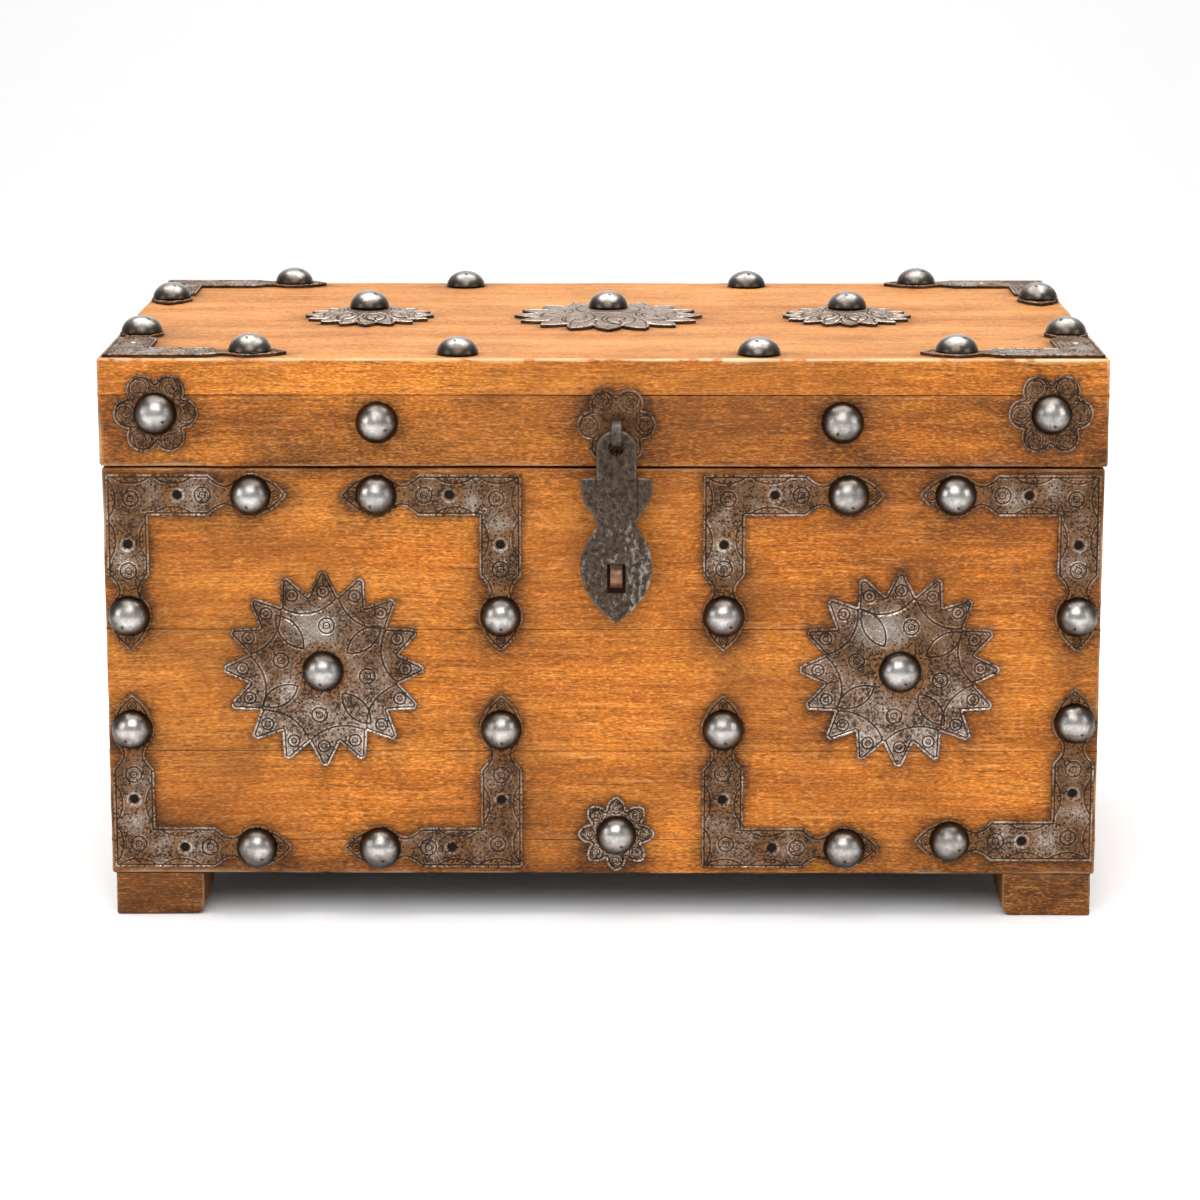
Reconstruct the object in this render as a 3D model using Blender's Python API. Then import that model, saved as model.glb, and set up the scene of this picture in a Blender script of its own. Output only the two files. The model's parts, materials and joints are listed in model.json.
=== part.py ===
"""Wooden trunk with a hinged lid, chased iron mounts, a hasp and two end handles.

Metres, +Z up. X runs along the front, -Y is the front and Z = 0 is the floor.
The middle of the trunk's bounding box stands over the origin.
"""

import math

import bmesh
import bpy
from mathutils import Matrix, Vector

for old in list(bpy.data.objects):
    bpy.data.objects.remove(old, do_unlink=True)

# Gap between pieces that touch, and the room round pieces that slide or turn.
FIT = 0.0003
TURN = 0.0004

# Body: four walls of edge-joined boards standing on a bottom board. The joints between the
# boards are given as shares of the body's height.
BODY_WIDTH = 0.600
BODY_DEPTH = 0.330
BODY_HEIGHT = 0.2525
WALL = 0.020
BOTTOM = 0.022
FRONT_LOW_JOINT_SHARE = 0.308
FRONT_HIGH_JOINT_SHARE = 0.608
BACK_JOINT_SHARE = 0.52
END_JOINT_SHARE = 0.47
EDGE = 0.0012

# Feet: blocks under the corners, with the inner lower corner rounded off.
FOOT_HEIGHT = 0.0265
FOOT_WIDTH = 0.054
FOOT_INSET = 0.002
FOOT_ROUND = 0.008

# Lid: two top boards on a frame of four rails, flush with the body at the back. The joint
# between the top boards is given as a share of the lid's depth.
LID_OVERHANG = 0.0013
LID_TOP = 0.022
LID_RAIL_HEIGHT = 0.0435
LID_RAIL = 0.020
LID_JOINT_SHARE = 0.366
SEAM = 0.0012

# Dome-headed nails.
STUD_RADIUS = 0.0124
STUD_HEIGHT = 0.0108
STUD_SIDES = 12
SHANK = 0.0028
SHANK_LENGTH = 0.013

# L-shaped brackets: two straps that each end in a neck and a pointed leaf.
SHEET = 0.0018
STRAP = 0.0255
STRAP_STRAIGHT = 0.062
NECK = 0.0071
NECK_AT = 0.0715
LEAF = 0.0135
STUD_AT = 0.087
LEAF_TIP = 0.109
NAIL_HOLE = 0.0028
NAIL_HOLE_AT = 0.043

# The brackets frame a square round each star. They were set by eye, so the stars stand a little
# off the middle of their squares, and the last bracket on the right sits higher than the others.
SQUARE_MARGIN = 0.0026
SQUARE_LOW_MARGIN = 0.0050
SQUARE_TOP_MARGIN = 0.0038
LEFT_SQUARE = 0.248
RIGHT_SQUARE = 0.237
STAR_LIFT = 0.0024
LEFT_STAR_SHIFT = 0.0048
LAST_BRACKET_LIFT = 0.0045
LID_BRACKET_MARGIN = 0.0035

# Round plates.
STAR_RADIUS = 0.0606
STAR_VALLEY = 0.0465
STAR_POINTS = 16
STAR_TIP_TURN = math.radians(2.2)
STAR_RISE = 0.0050
MEDALLION_RADIUS = 0.060
SIDE_MEDALLION_RADIUS = 0.041
MEDALLION_LEAVES = 16
MEDALLION_RISE = 0.0048
MEDALLION_LEFT = 0.1499
MEDALLION_SHIFT = 0.0026
MEDALLION_RIGHT = 0.155
ROSETTE_RADIUS = 0.0256
ROSETTE_PETALS = 6
ROSETTE_RISE = 0.0010
ROSETTE_INSET = 0.0348
ROSETTE_UP = 0.0325
BOTTOM_ROSETTE_RADIUS = 0.0236
BOTTOM_ROSETTE_PETALS = 8
BOTTOM_ROSETTE_UP = 0.0262

# Plain studs of the lid.
FRONT_STUD_LEFT = 0.1348
FRONT_STUD_RIGHT = 0.1427
FRONT_STUD_UP = 0.0268
TOP_STUD_LEFT = 0.0872
TOP_STUD_RIGHT = 0.0932
BACK_STUD_LEFT = 0.0946
BACK_STUD_RIGHT = 0.0960
TOP_STUD_INSET = 0.0175

# Hasp on its staple, and the staple that it closes over.
HASP_X = 0.008
HASP_SHEET = 0.0022
HASP_PIVOT_UP = 0.0215
HASP_PIVOT_OUT = 0.0075
HASP_RIM = 0.0025
HASP_STRAP = 0.024
HASP_WING = 0.043
HASP_LENGTH = 0.1152
HASP_EYE = 0.0050
HASP_EYE_DOWN = 0.0079
SLOT_WIDTH = 0.0113
SLOT_HEIGHT = 0.0180
SLOT_DOWN = 0.0876
HASP_ROSETTE_RADIUS = 0.0238
HASP_ROSETTE_LIFT = 0.0040
STAPLE_BAR = 0.0018
STAPLE_WIDTH = 0.0062
HASP_LOOP = 0.0062
HASP_LOOP_STRAIGHT = 0.0055
LOCK_LOOP = 0.0060
LEG_LENGTH = 0.015

# Strap hinges on the back. The body strap's straight part is a share of the body's height.
HINGE_X = 0.190
HINGE_WIDTH = 0.030
HINGE_SHEET = 0.0020
KNUCKLE_RADIUS = 0.0045
PIN_RADIUS = 0.0024
PIN_HEAD = 0.0036
PIN_HEAD_LENGTH = 0.0020
BODY_STRAP_SHARE = 0.30
LID_STRAP_STRAIGHT = 0.016
HINGE_SIDES = 12

# Drop handles on the ends, at a share of the body's height.
HANDLE_UP_SHARE = 0.594
HANDLE_LUG_AT = 0.072
HANDLE_LUG_LENGTH = 0.010
HANDLE_LUG_RADIUS = 0.0055
HANDLE_LUG_SINK = 0.0012
HANDLE_PLATE_WIDTH = 0.030
HANDLE_PLATE_END = 0.022
HANDLE_ROD = 0.0035
HANDLE_DROP = 0.052
HANDLE_TAIL = 0.011
HANDLE_ELBOW = 0.008
HANDLE_BEND = 0.016
HANDLE_SIDES = 8

# Places that follow from the sizes.
PLATE_FACE = FIT + SHEET
LOOP_REACH = HASP_LOOP_STRAIGHT + HASP_LOOP + STAPLE_BAR
FRONT_REACH = LID_OVERHANG + PLATE_FACE + LOOP_REACH
BACK_REACH = FIT + 2 * KNUCKLE_RADIUS
FRONT = (FRONT_REACH - BACK_REACH - BODY_DEPTH) / 2
BACK = FRONT + BODY_DEPTH
LID_FRONT = FRONT - LID_OVERHANG
LEFT = -BODY_WIDTH / 2
RIGHT = BODY_WIDTH / 2
LID_LEFT = LEFT - LID_OVERHANG
LID_RIGHT = RIGHT + LID_OVERHANG
BODY_BASE = FOOT_HEIGHT + FIT
BODY_RIM = FOOT_HEIGHT + BODY_HEIGHT
WALL_BASE = FOOT_HEIGHT + BOTTOM + FIT
LID_BASE = BODY_RIM + SEAM
RAIL_RIM = LID_BASE + LID_RAIL_HEIGHT
LID_FACE = RAIL_RIM + LID_TOP
TOP_MIDDLE = (LID_FRONT + BACK) / 2
HINGE_OUT = FIT + KNUCKLE_RADIUS
HINGE_AXIS = Vector((0, BACK + HINGE_OUT, BODY_RIM + SEAM / 2))
HASP_AXIS = Vector((HASP_X, LID_FRONT - PLATE_FACE - HASP_PIVOT_OUT, LID_BASE + HASP_PIVOT_UP))
HASP_BACK_OUT = FRONT - HASP_AXIS.y - HASP_SHEET / 2
HANDLE_OUT = FIT + SHEET + HANDLE_LUG_RADIUS - HANDLE_LUG_SINK
HANDLE_Z = FOOT_HEIGHT + HANDLE_UP_SHARE * BODY_HEIGHT

# A plate is drawn lying down, with its face up; these turn it onto a side of the trunk.
ON_TOP = Matrix.Identity(4)
ON_FRONT = Matrix.Rotation(math.pi / 2, 4, "X")
ON_BACK = Matrix.Rotation(math.pi, 4, "Z") @ ON_FRONT
ON_LEFT = Matrix.Rotation(-math.pi / 2, 4, "Z") @ ON_FRONT
ON_RIGHT = Matrix.Rotation(math.pi / 2, 4, "Z") @ ON_FRONT

# Colour, roughness and metallic value of each finish.
FINISHES = {
    "honey_wood": ((0.42, 0.17, 0.05, 1), 0.48, 0.0),
    "worn_wood": ((0.47, 0.25, 0.11, 1), 0.55, 0.0),
    "chased_iron": ((0.36, 0.33, 0.30, 1), 0.42, 0.9),
    "dark_iron": ((0.19, 0.17, 0.16, 1), 0.40, 0.95),
}

# Holes that the nails and staple legs need in the wood: (plate's place, corners, depth).
sockets = []


def material(finish):
    """The Principled material of a finish."""
    made = bpy.data.materials.get(finish)
    if made is None:
        made = bpy.data.materials.new(finish)
        made.use_nodes = True
        shader = made.node_tree.nodes["Principled BSDF"]
        colour, roughness, metallic = FINISHES[finish]
        shader.inputs["Base Color"].default_value = colour
        shader.inputs["Roughness"].default_value = roughness
        shader.inputs["Metallic"].default_value = metallic
    return made


def stitch(bm, one, two):
    """Faces between two closed loops of vertices, whose counts may differ."""
    many, few = (one, two) if len(one) >= len(two) else (two, one)
    step = len(few) / len(many)
    near = [int((i + 0.5) * step + 0.5) % len(few) for i in range(len(many))]
    for i, k in enumerate(near):
        j = (i + 1) % len(many)
        bm.faces.new((many[i], many[j], few[k]))
        if near[j] != k:
            bm.faces.new((many[j], few[near[j]], few[k]))


def skin(bm, loops, ring=False):
    """A closed body through loops of points, with end caps, or joined end to end as a ring."""
    rows = [[bm.verts.new(point) for point in loop] for loop in loops]
    for one, two in zip(rows, rows[1:]):
        stitch(bm, one, two)
    if ring:
        stitch(bm, rows[-1], rows[0])
    else:
        bm.faces.new(rows[0])
        bm.faces.new(rows[-1])


def mesh_of(bm, name, finish):
    """The finished mesh, with its faces pointing out."""
    bmesh.ops.recalc_face_normals(bm, faces=bm.faces)
    mesh = bpy.data.meshes.new(name)
    bm.to_mesh(mesh)
    bm.free()
    mesh.materials.append(material(finish))
    return mesh


def prism(bm, corners, low, high):
    """A flat outline given thickness along Z."""
    skin(bm, [[(x, y, z) for x, y in corners] for z in (low, high)])


def circle(radius, z, count):
    turns = [2 * math.pi * i / count for i in range(count)]
    return [(radius * math.cos(a), radius * math.sin(a), z) for a in turns]


def moved(loop, x, y):
    return [(px + x, py + y, pz) for px, py, pz in loop]


def place(mesh, name, point, face, turn=0, parent=None):
    """An object of the mesh on a side of the trunk, turned about the plate's own normal."""
    obj = bpy.data.objects.new(name, mesh)
    bpy.context.scene.collection.objects.link(obj)
    if parent is not None:
        obj.parent = parent
        obj.matrix_parent_inverse = Matrix.Translation(parent.location).inverted()
    obj.matrix_basis = Matrix.Translation(point) @ face @ Matrix.Rotation(turn, 4, "Z")
    return obj


def hidden(mesh, name):
    """A cutter or pattern that isn't a piece of the trunk."""
    obj = place(mesh, name, (0, 0, 0), ON_TOP)
    obj.hide_render = True
    obj.display_type = "WIRE"
    return obj


def combine(obj, other, operation):
    step = obj.modifiers.new(operation.lower(), "BOOLEAN")
    step.operation = operation
    step.solver = "EXACT"
    step.object = other


def settled(obj, *helpers):
    """The object's mesh with its modifiers carried out; the pattern and its helpers go."""
    graph = bpy.context.evaluated_depsgraph_get()
    mesh = bpy.data.meshes.new_from_object(obj.evaluated_get(graph))
    mesh.name = obj.name
    for used in (obj, *helpers):
        bpy.data.objects.remove(used, do_unlink=True)
    return mesh


def smooth(mesh, sharp=35):
    mesh.shade_smooth()
    mesh.set_sharp_from_angle(angle=math.radians(sharp))
    return mesh


def axis_at(name, point):
    """An empty on a joint's axis, which carries the pieces that turn about it."""
    obj = bpy.data.objects.new(name, None)
    obj.location = point
    bpy.context.scene.collection.objects.link(obj)
    return obj


lid_axis = axis_at("lid_axis", HINGE_AXIS)
hasp_axis = axis_at("hasp_axis", HASP_AXIS)
hasp_axis.parent = lid_axis
hasp_axis.matrix_parent_inverse = Matrix.Translation(HINGE_AXIS).inverted()


def dome_loops(z):
    """The head of a nail from its crown down to its rim at height z."""
    slopes = [math.radians(a) for a in (80, 55, 28, 0)]
    return [
        circle(STUD_RADIUS * math.cos(a), z + STUD_HEIGHT * math.sin(a), STUD_SIDES)
        for a in slopes
    ]


def shank_loops(z):
    """The square shank of a nail from height z to its blunt end in the wood."""
    return [circle(SHANK, z, 4), circle(SHANK * 0.75, -SHANK_LENGTH, 4)]


def nail_socket(matrix, x, y):
    """Notes the hole that a nail at x, y of a plate needs in the wood behind it."""
    corners = [(px + x, py + y) for px, py, _ in circle(SHANK + 2 * FIT, 0, 4)]
    sockets.append((matrix, corners, SHANK_LENGTH + FIT))


def round_plate(name, finish, outline, ring, rise, stud=True):
    """A sheet-iron plate with a raised middle, one body with the nail at its hub."""
    low, high = FIT, FIT + SHEET
    bm = bmesh.new()
    rim = [[(r * math.cos(a), r * math.sin(a), z) for a, r in outline] for z in (high, low)]
    inner = ring * 0.62
    count = 2 * STUD_SIDES
    upper = [circle(inner, high + 0.7 * rise, count), circle(ring, high, count), rim[0]]
    under = [rim[1], circle(ring, low, count), circle(inner, low + 0.7 * rise, count)]
    if stud:
        loops = dome_loops(high + rise) + upper + under + shank_loops(low + rise)
    else:
        loops = upper + under
    skin(bm, loops)
    return smooth(mesh_of(bm, name, finish))


def repeated(sector, count):
    """An outline of (turn, radius) pairs made of equal sectors."""
    step = 2 * math.pi / count
    return [(i * step + turn, radius) for i in range(count) for turn, radius in sector]


def star_outline():
    """Triangular points with blunt tips, which meet in sharp valleys."""
    half = math.pi / STAR_POINTS
    sector = [(-STAR_TIP_TURN, STAR_RADIUS), (STAR_TIP_TURN, STAR_RADIUS), (half, STAR_VALLEY)]
    return repeated(sector, STAR_POINTS)


def leaf_outline(radius):
    """Leaves with bowed sides and a sharp tip."""
    half = math.pi / MEDALLION_LEAVES
    sector = [
        (0, radius),
        (half * 0.55, radius * 0.93),
        (half, radius * 0.79),
        (half * 1.45, radius * 0.93),
    ]
    return repeated(sector, MEDALLION_LEAVES)


def petal_outline(radius, count):
    """Round petals: circles set about the hub, joined where they meet."""
    petal = radius * 0.375
    out = radius - petal
    half = math.pi / count
    sector = []
    for k in range(-3, 3):
        turn = half * k / 3
        across = out * math.sin(turn)
        sector.append((turn, out * math.cos(turn) + math.sqrt(petal**2 - across**2)))
    return repeated(sector, count)


def pointed_petal_outline(radius, count):
    half = math.pi / count
    sector = [
        (0, radius),
        (half * 0.5, radius * 0.90),
        (half, radius * 0.72),
        (half * 1.5, radius * 0.90),
    ]
    return repeated(sector, count)


def arm(straight, width, reach):
    """Half of a strap's outline past its straight part, from the shoulder to the leaf's tip.

    Distances run along the strap; reach moves the neck and the leaf along with it.
    """
    points = []
    for turn in (0, 30, 60, 90):
        along = straight + (reach + NECK_AT - straight) * turn / 90
        points.append((along, width / 2 - (width / 2 - NECK) * math.sin(math.radians(turn))))
    for turn in (140, 110, 80, 52):
        a = math.radians(turn)
        points.append((reach + STUD_AT + LEAF * math.cos(a), LEAF * math.sin(a)))
    points.append((reach + LEAF_TIP - LEAF * 0.48, LEAF * 0.49))
    points.append((reach + LEAF_TIP, 0.0))
    return points


def strap_end(straight, width, reach):
    """The whole end of a strap: out along one side, round the tip and back."""
    half = arm(straight, width, reach)
    return [(t, -h) for t, h in half] + [(t, h) for t, h in reversed(half[:-1])]


def bracket_mesh():
    """Two straps at right angles, with a nail in each leaf and an empty nail hole in each arm."""
    middle = STRAP / 2
    end = strap_end(STRAP_STRAIGHT, STRAP, 0)
    outline = [(0, 0)]
    outline += [(t, middle + h) for t, h in end]
    outline.append((STRAP, STRAP))
    outline += [(middle - h, t) for t, h in end]
    plate = bmesh.new()
    prism(plate, outline, FIT, PLATE_FACE)
    holes = bmesh.new()
    nails = bmesh.new()
    for x, y in ((NAIL_HOLE_AT, middle), (middle, NAIL_HOLE_AT)):
        skin(holes, [moved(circle(NAIL_HOLE, z, 8), x, y) for z in (-SHEET, 3 * SHEET)])
    for x, y in ((STUD_AT, middle), (middle, STUD_AT)):
        loops = dome_loops(PLATE_FACE - FIT) + shank_loops(PLATE_FACE - FIT)
        skin(nails, [moved(loop, x, y) for loop in loops])
    pattern = hidden(mesh_of(plate, "corner_bracket", "chased_iron"), "corner_bracket")
    hole_cutter = hidden(mesh_of(holes, "bracket_holes", "chased_iron"), "bracket_holes")
    nail_body = hidden(mesh_of(nails, "bracket_nails", "chased_iron"), "bracket_nails")
    combine(pattern, hole_cutter, "DIFFERENCE")
    combine(pattern, nail_body, "UNION")
    return smooth(settled(pattern, hole_cutter, nail_body))


def bracket(mesh, name, point, face, turn, parent=None):
    obj = place(mesh, name, point, face, turn, parent)
    nail_socket(obj.matrix_basis.copy(), STUD_AT, STRAP / 2)
    nail_socket(obj.matrix_basis.copy(), STRAP / 2, STUD_AT)


# Corner brackets: four round each star on the front, four on the lid.
corner_bracket = bracket_mesh()
CORNERS = {
    "top_left": (0, 1, -math.pi / 2),
    "top_right": (1, 1, math.pi),
    "bottom_left": (0, 0, 0),
    "bottom_right": (1, 0, math.pi / 2),
}
square_low = BODY_BASE + SQUARE_LOW_MARGIN
square_high = BODY_RIM - SQUARE_TOP_MARGIN
squares = {
    "left": (LEFT + SQUARE_MARGIN, LEFT + SQUARE_MARGIN + LEFT_SQUARE),
    "right": (RIGHT - SQUARE_MARGIN - RIGHT_SQUARE, RIGHT - SQUARE_MARGIN),
}
for side, ends in squares.items():
    for corner, (across, up, turn) in CORNERS.items():
        lift = LAST_BRACKET_LIFT if (side, corner) == ("right", "bottom_right") else 0
        point = (ends[across], FRONT, (square_low, square_high)[up] + lift)
        bracket(corner_bracket, f"{side}_star_bracket_{corner}", point, ON_FRONT, turn)

lid_ends = (LID_LEFT + LID_BRACKET_MARGIN, LID_RIGHT - LID_BRACKET_MARGIN)
lid_rows = (LID_FRONT + LID_BRACKET_MARGIN, BACK - LID_BRACKET_MARGIN)
for corner, (across, up, turn) in CORNERS.items():
    row, side = corner.split("_")
    name = f"lid_bracket_{'back' if row == 'top' else 'front'}_{side}"
    bracket(corner_bracket, name, (lid_ends[across], lid_rows[up], LID_FACE), ON_TOP, turn, lid_axis)


def hub_plate(mesh, name, point, face, parent=None):
    obj = place(mesh, name, point, face, 0, parent)
    nail_socket(obj.matrix_basis.copy(), 0, 0)


# Sixteen-point stars in the two squares.
star = round_plate("star_plate", "chased_iron", star_outline(), STAR_VALLEY - 0.002, STAR_RISE)
for side, shift in (("left", LEFT_STAR_SHIFT), ("right", 0)):
    hub = (sum(squares[side]) / 2 + shift, FRONT, (square_low + square_high) / 2 + STAR_LIFT)
    hub_plate(star, f"star_plate_{side}", hub, ON_FRONT)

# Rosette below the hasp.
flower = round_plate(
    "bottom_rosette",
    "chased_iron",
    pointed_petal_outline(BOTTOM_ROSETTE_RADIUS, BOTTOM_ROSETTE_PETALS),
    BOTTOM_ROSETTE_RADIUS * 0.68,
    ROSETTE_RISE,
)
hub_plate(flower, "bottom_rosette", (HASP_X, FRONT, FOOT_HEIGHT + BOTTOM_ROSETTE_UP), ON_FRONT)

# Leaf-edged medallions along the middle of the lid.
for name, radius, place_x in (
    ("medallion_left", SIDE_MEDALLION_RADIUS, -MEDALLION_LEFT),
    ("medallion_centre", MEDALLION_RADIUS, MEDALLION_SHIFT),
    ("medallion_right", SIDE_MEDALLION_RADIUS, MEDALLION_RIGHT),
):
    plate = round_plate(name, "chased_iron", leaf_outline(radius), radius * 0.76, MEDALLION_RISE)
    hub_plate(plate, name, (place_x, TOP_MIDDLE, LID_FACE), ON_TOP, lid_axis)

# Petal rosettes at the ends of the lid's front rail.
petals = petal_outline(ROSETTE_RADIUS, ROSETTE_PETALS)
rosette = round_plate("lid_rosette", "chased_iron", petals, ROSETTE_RADIUS * 0.68, ROSETTE_RISE)
for side, at in (("left", LID_LEFT + ROSETTE_INSET), ("right", LID_RIGHT - ROSETTE_INSET)):
    hub_plate(rosette, f"lid_rosette_{side}", (at, LID_FRONT, LID_BASE + ROSETTE_UP), ON_FRONT, lid_axis)

# Plain studs: two on the front rail and four on the top.
bare = bmesh.new()
skin(bare, dome_loops(FIT) + shank_loops(FIT))
plain_stud = smooth(mesh_of(bare, "plain_stud", "dark_iron"))
for side, rail_x, top_x, back_x in (
    ("left", -FRONT_STUD_LEFT, -TOP_STUD_LEFT, -BACK_STUD_LEFT),
    ("right", FRONT_STUD_RIGHT, TOP_STUD_RIGHT, BACK_STUD_RIGHT),
):
    rail_place = (rail_x, LID_FRONT, LID_BASE + FRONT_STUD_UP)
    hub_plate(plain_stud, f"lid_front_stud_{side}", rail_place, ON_FRONT, lid_axis)
    top_place = (top_x, LID_FRONT + TOP_STUD_INSET, LID_FACE)
    hub_plate(plain_stud, f"lid_top_stud_front_{side}", top_place, ON_TOP, lid_axis)
    back_place = (back_x, BACK - TOP_STUD_INSET, LID_FACE)
    hub_plate(plain_stud, f"lid_top_stud_back_{side}", back_place, ON_TOP, lid_axis)


def staple_mesh(name, loop, straight):
    """A flat bar bent to a loop that stands on two legs, for driving into wood."""
    arc = [math.pi / 2 - math.pi * i / 8 for i in range(9)]
    profile = [(-LEG_LENGTH, loop + STAPLE_BAR)]
    for a in arc:
        out = loop + STAPLE_BAR
        profile.append((straight + out * math.cos(a), out * math.sin(a)))
    profile += [(-LEG_LENGTH, -loop - STAPLE_BAR), (-LEG_LENGTH, -loop)]
    for a in reversed(arc):
        profile.append((straight + loop * math.cos(a), loop * math.sin(a)))
    profile.append((-LEG_LENGTH, loop))
    bm = bmesh.new()
    skin(bm, [[(x, y, z) for z, y in profile] for x in (-STAPLE_WIDTH / 2, STAPLE_WIDTH / 2)])
    return mesh_of(bm, name, "dark_iron")


def leg_corners(loop, side, room):
    """Outline of one staple leg, with room all round it."""
    wide = STAPLE_WIDTH / 2 + room
    near = side * (loop - room)
    far = side * (loop + STAPLE_BAR + room)
    return [(-wide, near), (wide, near), (wide, far), (-wide, far)]


def staple(name, loop, straight, point, parent=None):
    """A staple on the front, with the holes for its legs noted."""
    obj = place(staple_mesh(name, loop, straight), name, point, ON_FRONT, 0, parent)
    for side in (-1, 1):
        sockets.append((obj.matrix_basis.copy(), leg_corners(loop, side, FIT), LEG_LENGTH + FIT))


# Rosette behind the hasp's staple, with two slots that the staple's legs pass through.
hasp_petals = petal_outline(HASP_ROSETTE_RADIUS, ROSETTE_PETALS)
ring_radius = HASP_ROSETTE_RADIUS * 0.68
backing = round_plate("hasp_rosette", "chased_iron", hasp_petals, ring_radius, 0, stud=False)
rosette_place = (HASP_X, LID_FRONT, HASP_AXIS.z + HASP_ROSETTE_LIFT)
hasp_rosette = place(backing, "hasp_rosette", rosette_place, ON_FRONT, 0, lid_axis)
leg_slots = bmesh.new()
for side in (-1, 1):
    corners = [(x, y - HASP_ROSETTE_LIFT) for x, y in leg_corners(HASP_LOOP, side, FIT)]
    prism(leg_slots, corners, -SHEET, 3 * SHEET)
leg_cutter = hidden(mesh_of(leg_slots, "rosette_leg_slots", "chased_iron"), "rosette_leg_slots")
leg_cutter.matrix_basis = hasp_rosette.matrix_basis
combine(hasp_rosette, leg_cutter, "DIFFERENCE")

# Staple that the hasp hangs in, and the lower one that its slot closes over.
loop_place = (HASP_X, LID_FRONT, HASP_AXIS.z)
staple("hasp_staple", HASP_LOOP, PLATE_FACE + HASP_LOOP_STRAIGHT, loop_place, lid_axis)
lock_straight = HASP_BACK_OUT - TURN - LOCK_LOOP - STAPLE_BAR
lock_place = (HASP_X, FRONT, HASP_AXIS.z - SLOT_DOWN)
staple("lock_staple", LOCK_LOOP, lock_straight, lock_place)


def hasp_outline():
    """Round head, straight strap, winged shoulders, waist, and an oval foot with a point."""
    head = HASP_STRAP / 2
    wing = HASP_WING / 2
    side = []
    for turn in (75, 50, 25, 0):
        a = math.radians(turn)
        side.append((head * math.cos(a), HASP_RIM - head + head * math.sin(a)))
    side += [(head * 0.97, -0.0258), (wing, -0.0268), (wing * 0.955, -0.0385)]
    side += [(wing * 0.76, -0.0470), (head * 0.96, -0.0548), (wing * 0.76, -0.0640)]
    side += [(wing * 0.945, -0.0727), (wing, -0.0798), (wing * 0.93, -0.0900)]
    side += [(wing * 0.71, -0.1005), (wing * 0.40, -0.1087)]
    outline = [(0, HASP_RIM)] + side + [(0, -HASP_LENGTH)]
    return outline + [(-x, y) for x, y in reversed(side)]


# Hasp: forged sheet that hangs from the staple by the rim above its eye.
plate = bmesh.new()
prism(plate, hasp_outline(), -HASP_SHEET / 2, HASP_SHEET / 2)
hasp = place(mesh_of(plate, "hasp", "dark_iron"), "hasp", HASP_AXIS, ON_FRONT, 0, hasp_axis)
openings = bmesh.new()
eye = [moved(circle(HASP_EYE, z, 14), 0, -HASP_EYE_DOWN) for z in (-HASP_SHEET, HASP_SHEET)]
skin(openings, eye)
slot_x, slot_y, slot_cut = SLOT_WIDTH / 2, SLOT_HEIGHT / 2, SLOT_WIDTH * 0.16
slot = [(slot_x - slot_cut, -slot_y), (slot_x, slot_cut - slot_y), (slot_x, slot_y - slot_cut)]
slot += [(slot_x - slot_cut, slot_y), (slot_cut - slot_x, slot_y), (-slot_x, slot_y - slot_cut)]
slot += [(-slot_x, slot_cut - slot_y), (slot_cut - slot_x, -slot_y)]
prism(openings, [(x, y - SLOT_DOWN) for x, y in slot], -HASP_SHEET, HASP_SHEET)
hasp_cutter = hidden(mesh_of(openings, "hasp_openings", "dark_iron"), "hasp_openings")
hasp_cutter.matrix_basis = hasp.matrix_basis
combine(hasp, hasp_cutter, "DIFFERENCE")


def across(radius, x, y, z, count):
    """A circle about an axis along X through y, z."""
    return [(x, y + px, z + py) for px, py, _ in circle(radius, 0, count)]


def knuckle(bm, start, end, outer, bore, z, count):
    """A tube along X over y = 0, which a pin or a rod turns in."""
    loops = [across(outer, x, 0, z, count) for x in (start, end)]
    loops += [across(bore, x, 0, z, count) for x in (end, start)]
    skin(bm, loops, ring=True)


def hinge_strap(name, way, straight, thirds, point, parent=None):
    """A strap with its rolled knuckles; way is 1 for the strap above the pin, -1 below it."""
    half = HINGE_WIDTH / 2
    third = HINGE_WIDTH / 3
    runs_in = KNUCKLE_RADIUS * 0.45
    stays_clear = KNUCKLE_RADIUS + TURN + FIT
    if 1 in thirds:
        outer, inner, gap = stays_clear, runs_in, third / 2 - TURN / 2
    else:
        outer, inner, gap = runs_in, stays_clear, third / 2 + TURN / 2
    near = [(-half, outer), (-gap, outer), (-gap, inner)]
    near += [(-x, y) for x, y in reversed(near)]
    far = [(h, t) for t, h in reversed(strap_end(straight, HINGE_WIDTH, straight - STRAP_STRAIGHT))]
    sheet = bmesh.new()
    prism(sheet, [(x, way * y) for x, y in near + far], FIT, FIT + HINGE_SHEET)
    strap = place(mesh_of(sheet, name, "dark_iron"), name, point, ON_BACK, 0, parent)
    rolls = bmesh.new()
    for i in thirds:
        start = -half + i * third + (TURN / 2 if i else 0)
        end = -half + (i + 1) * third - (TURN / 2 if i < 2 else 0)
        knuckle(rolls, start, end, KNUCKLE_RADIUS, PIN_RADIUS + FIT, HINGE_OUT, HINGE_SIDES)
    rolled = hidden(mesh_of(rolls, f"{name}_knuckles", "dark_iron"), f"{name}_knuckles")
    rolled.matrix_basis = strap.matrix_basis
    combine(strap, rolled, "UNION")


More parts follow.
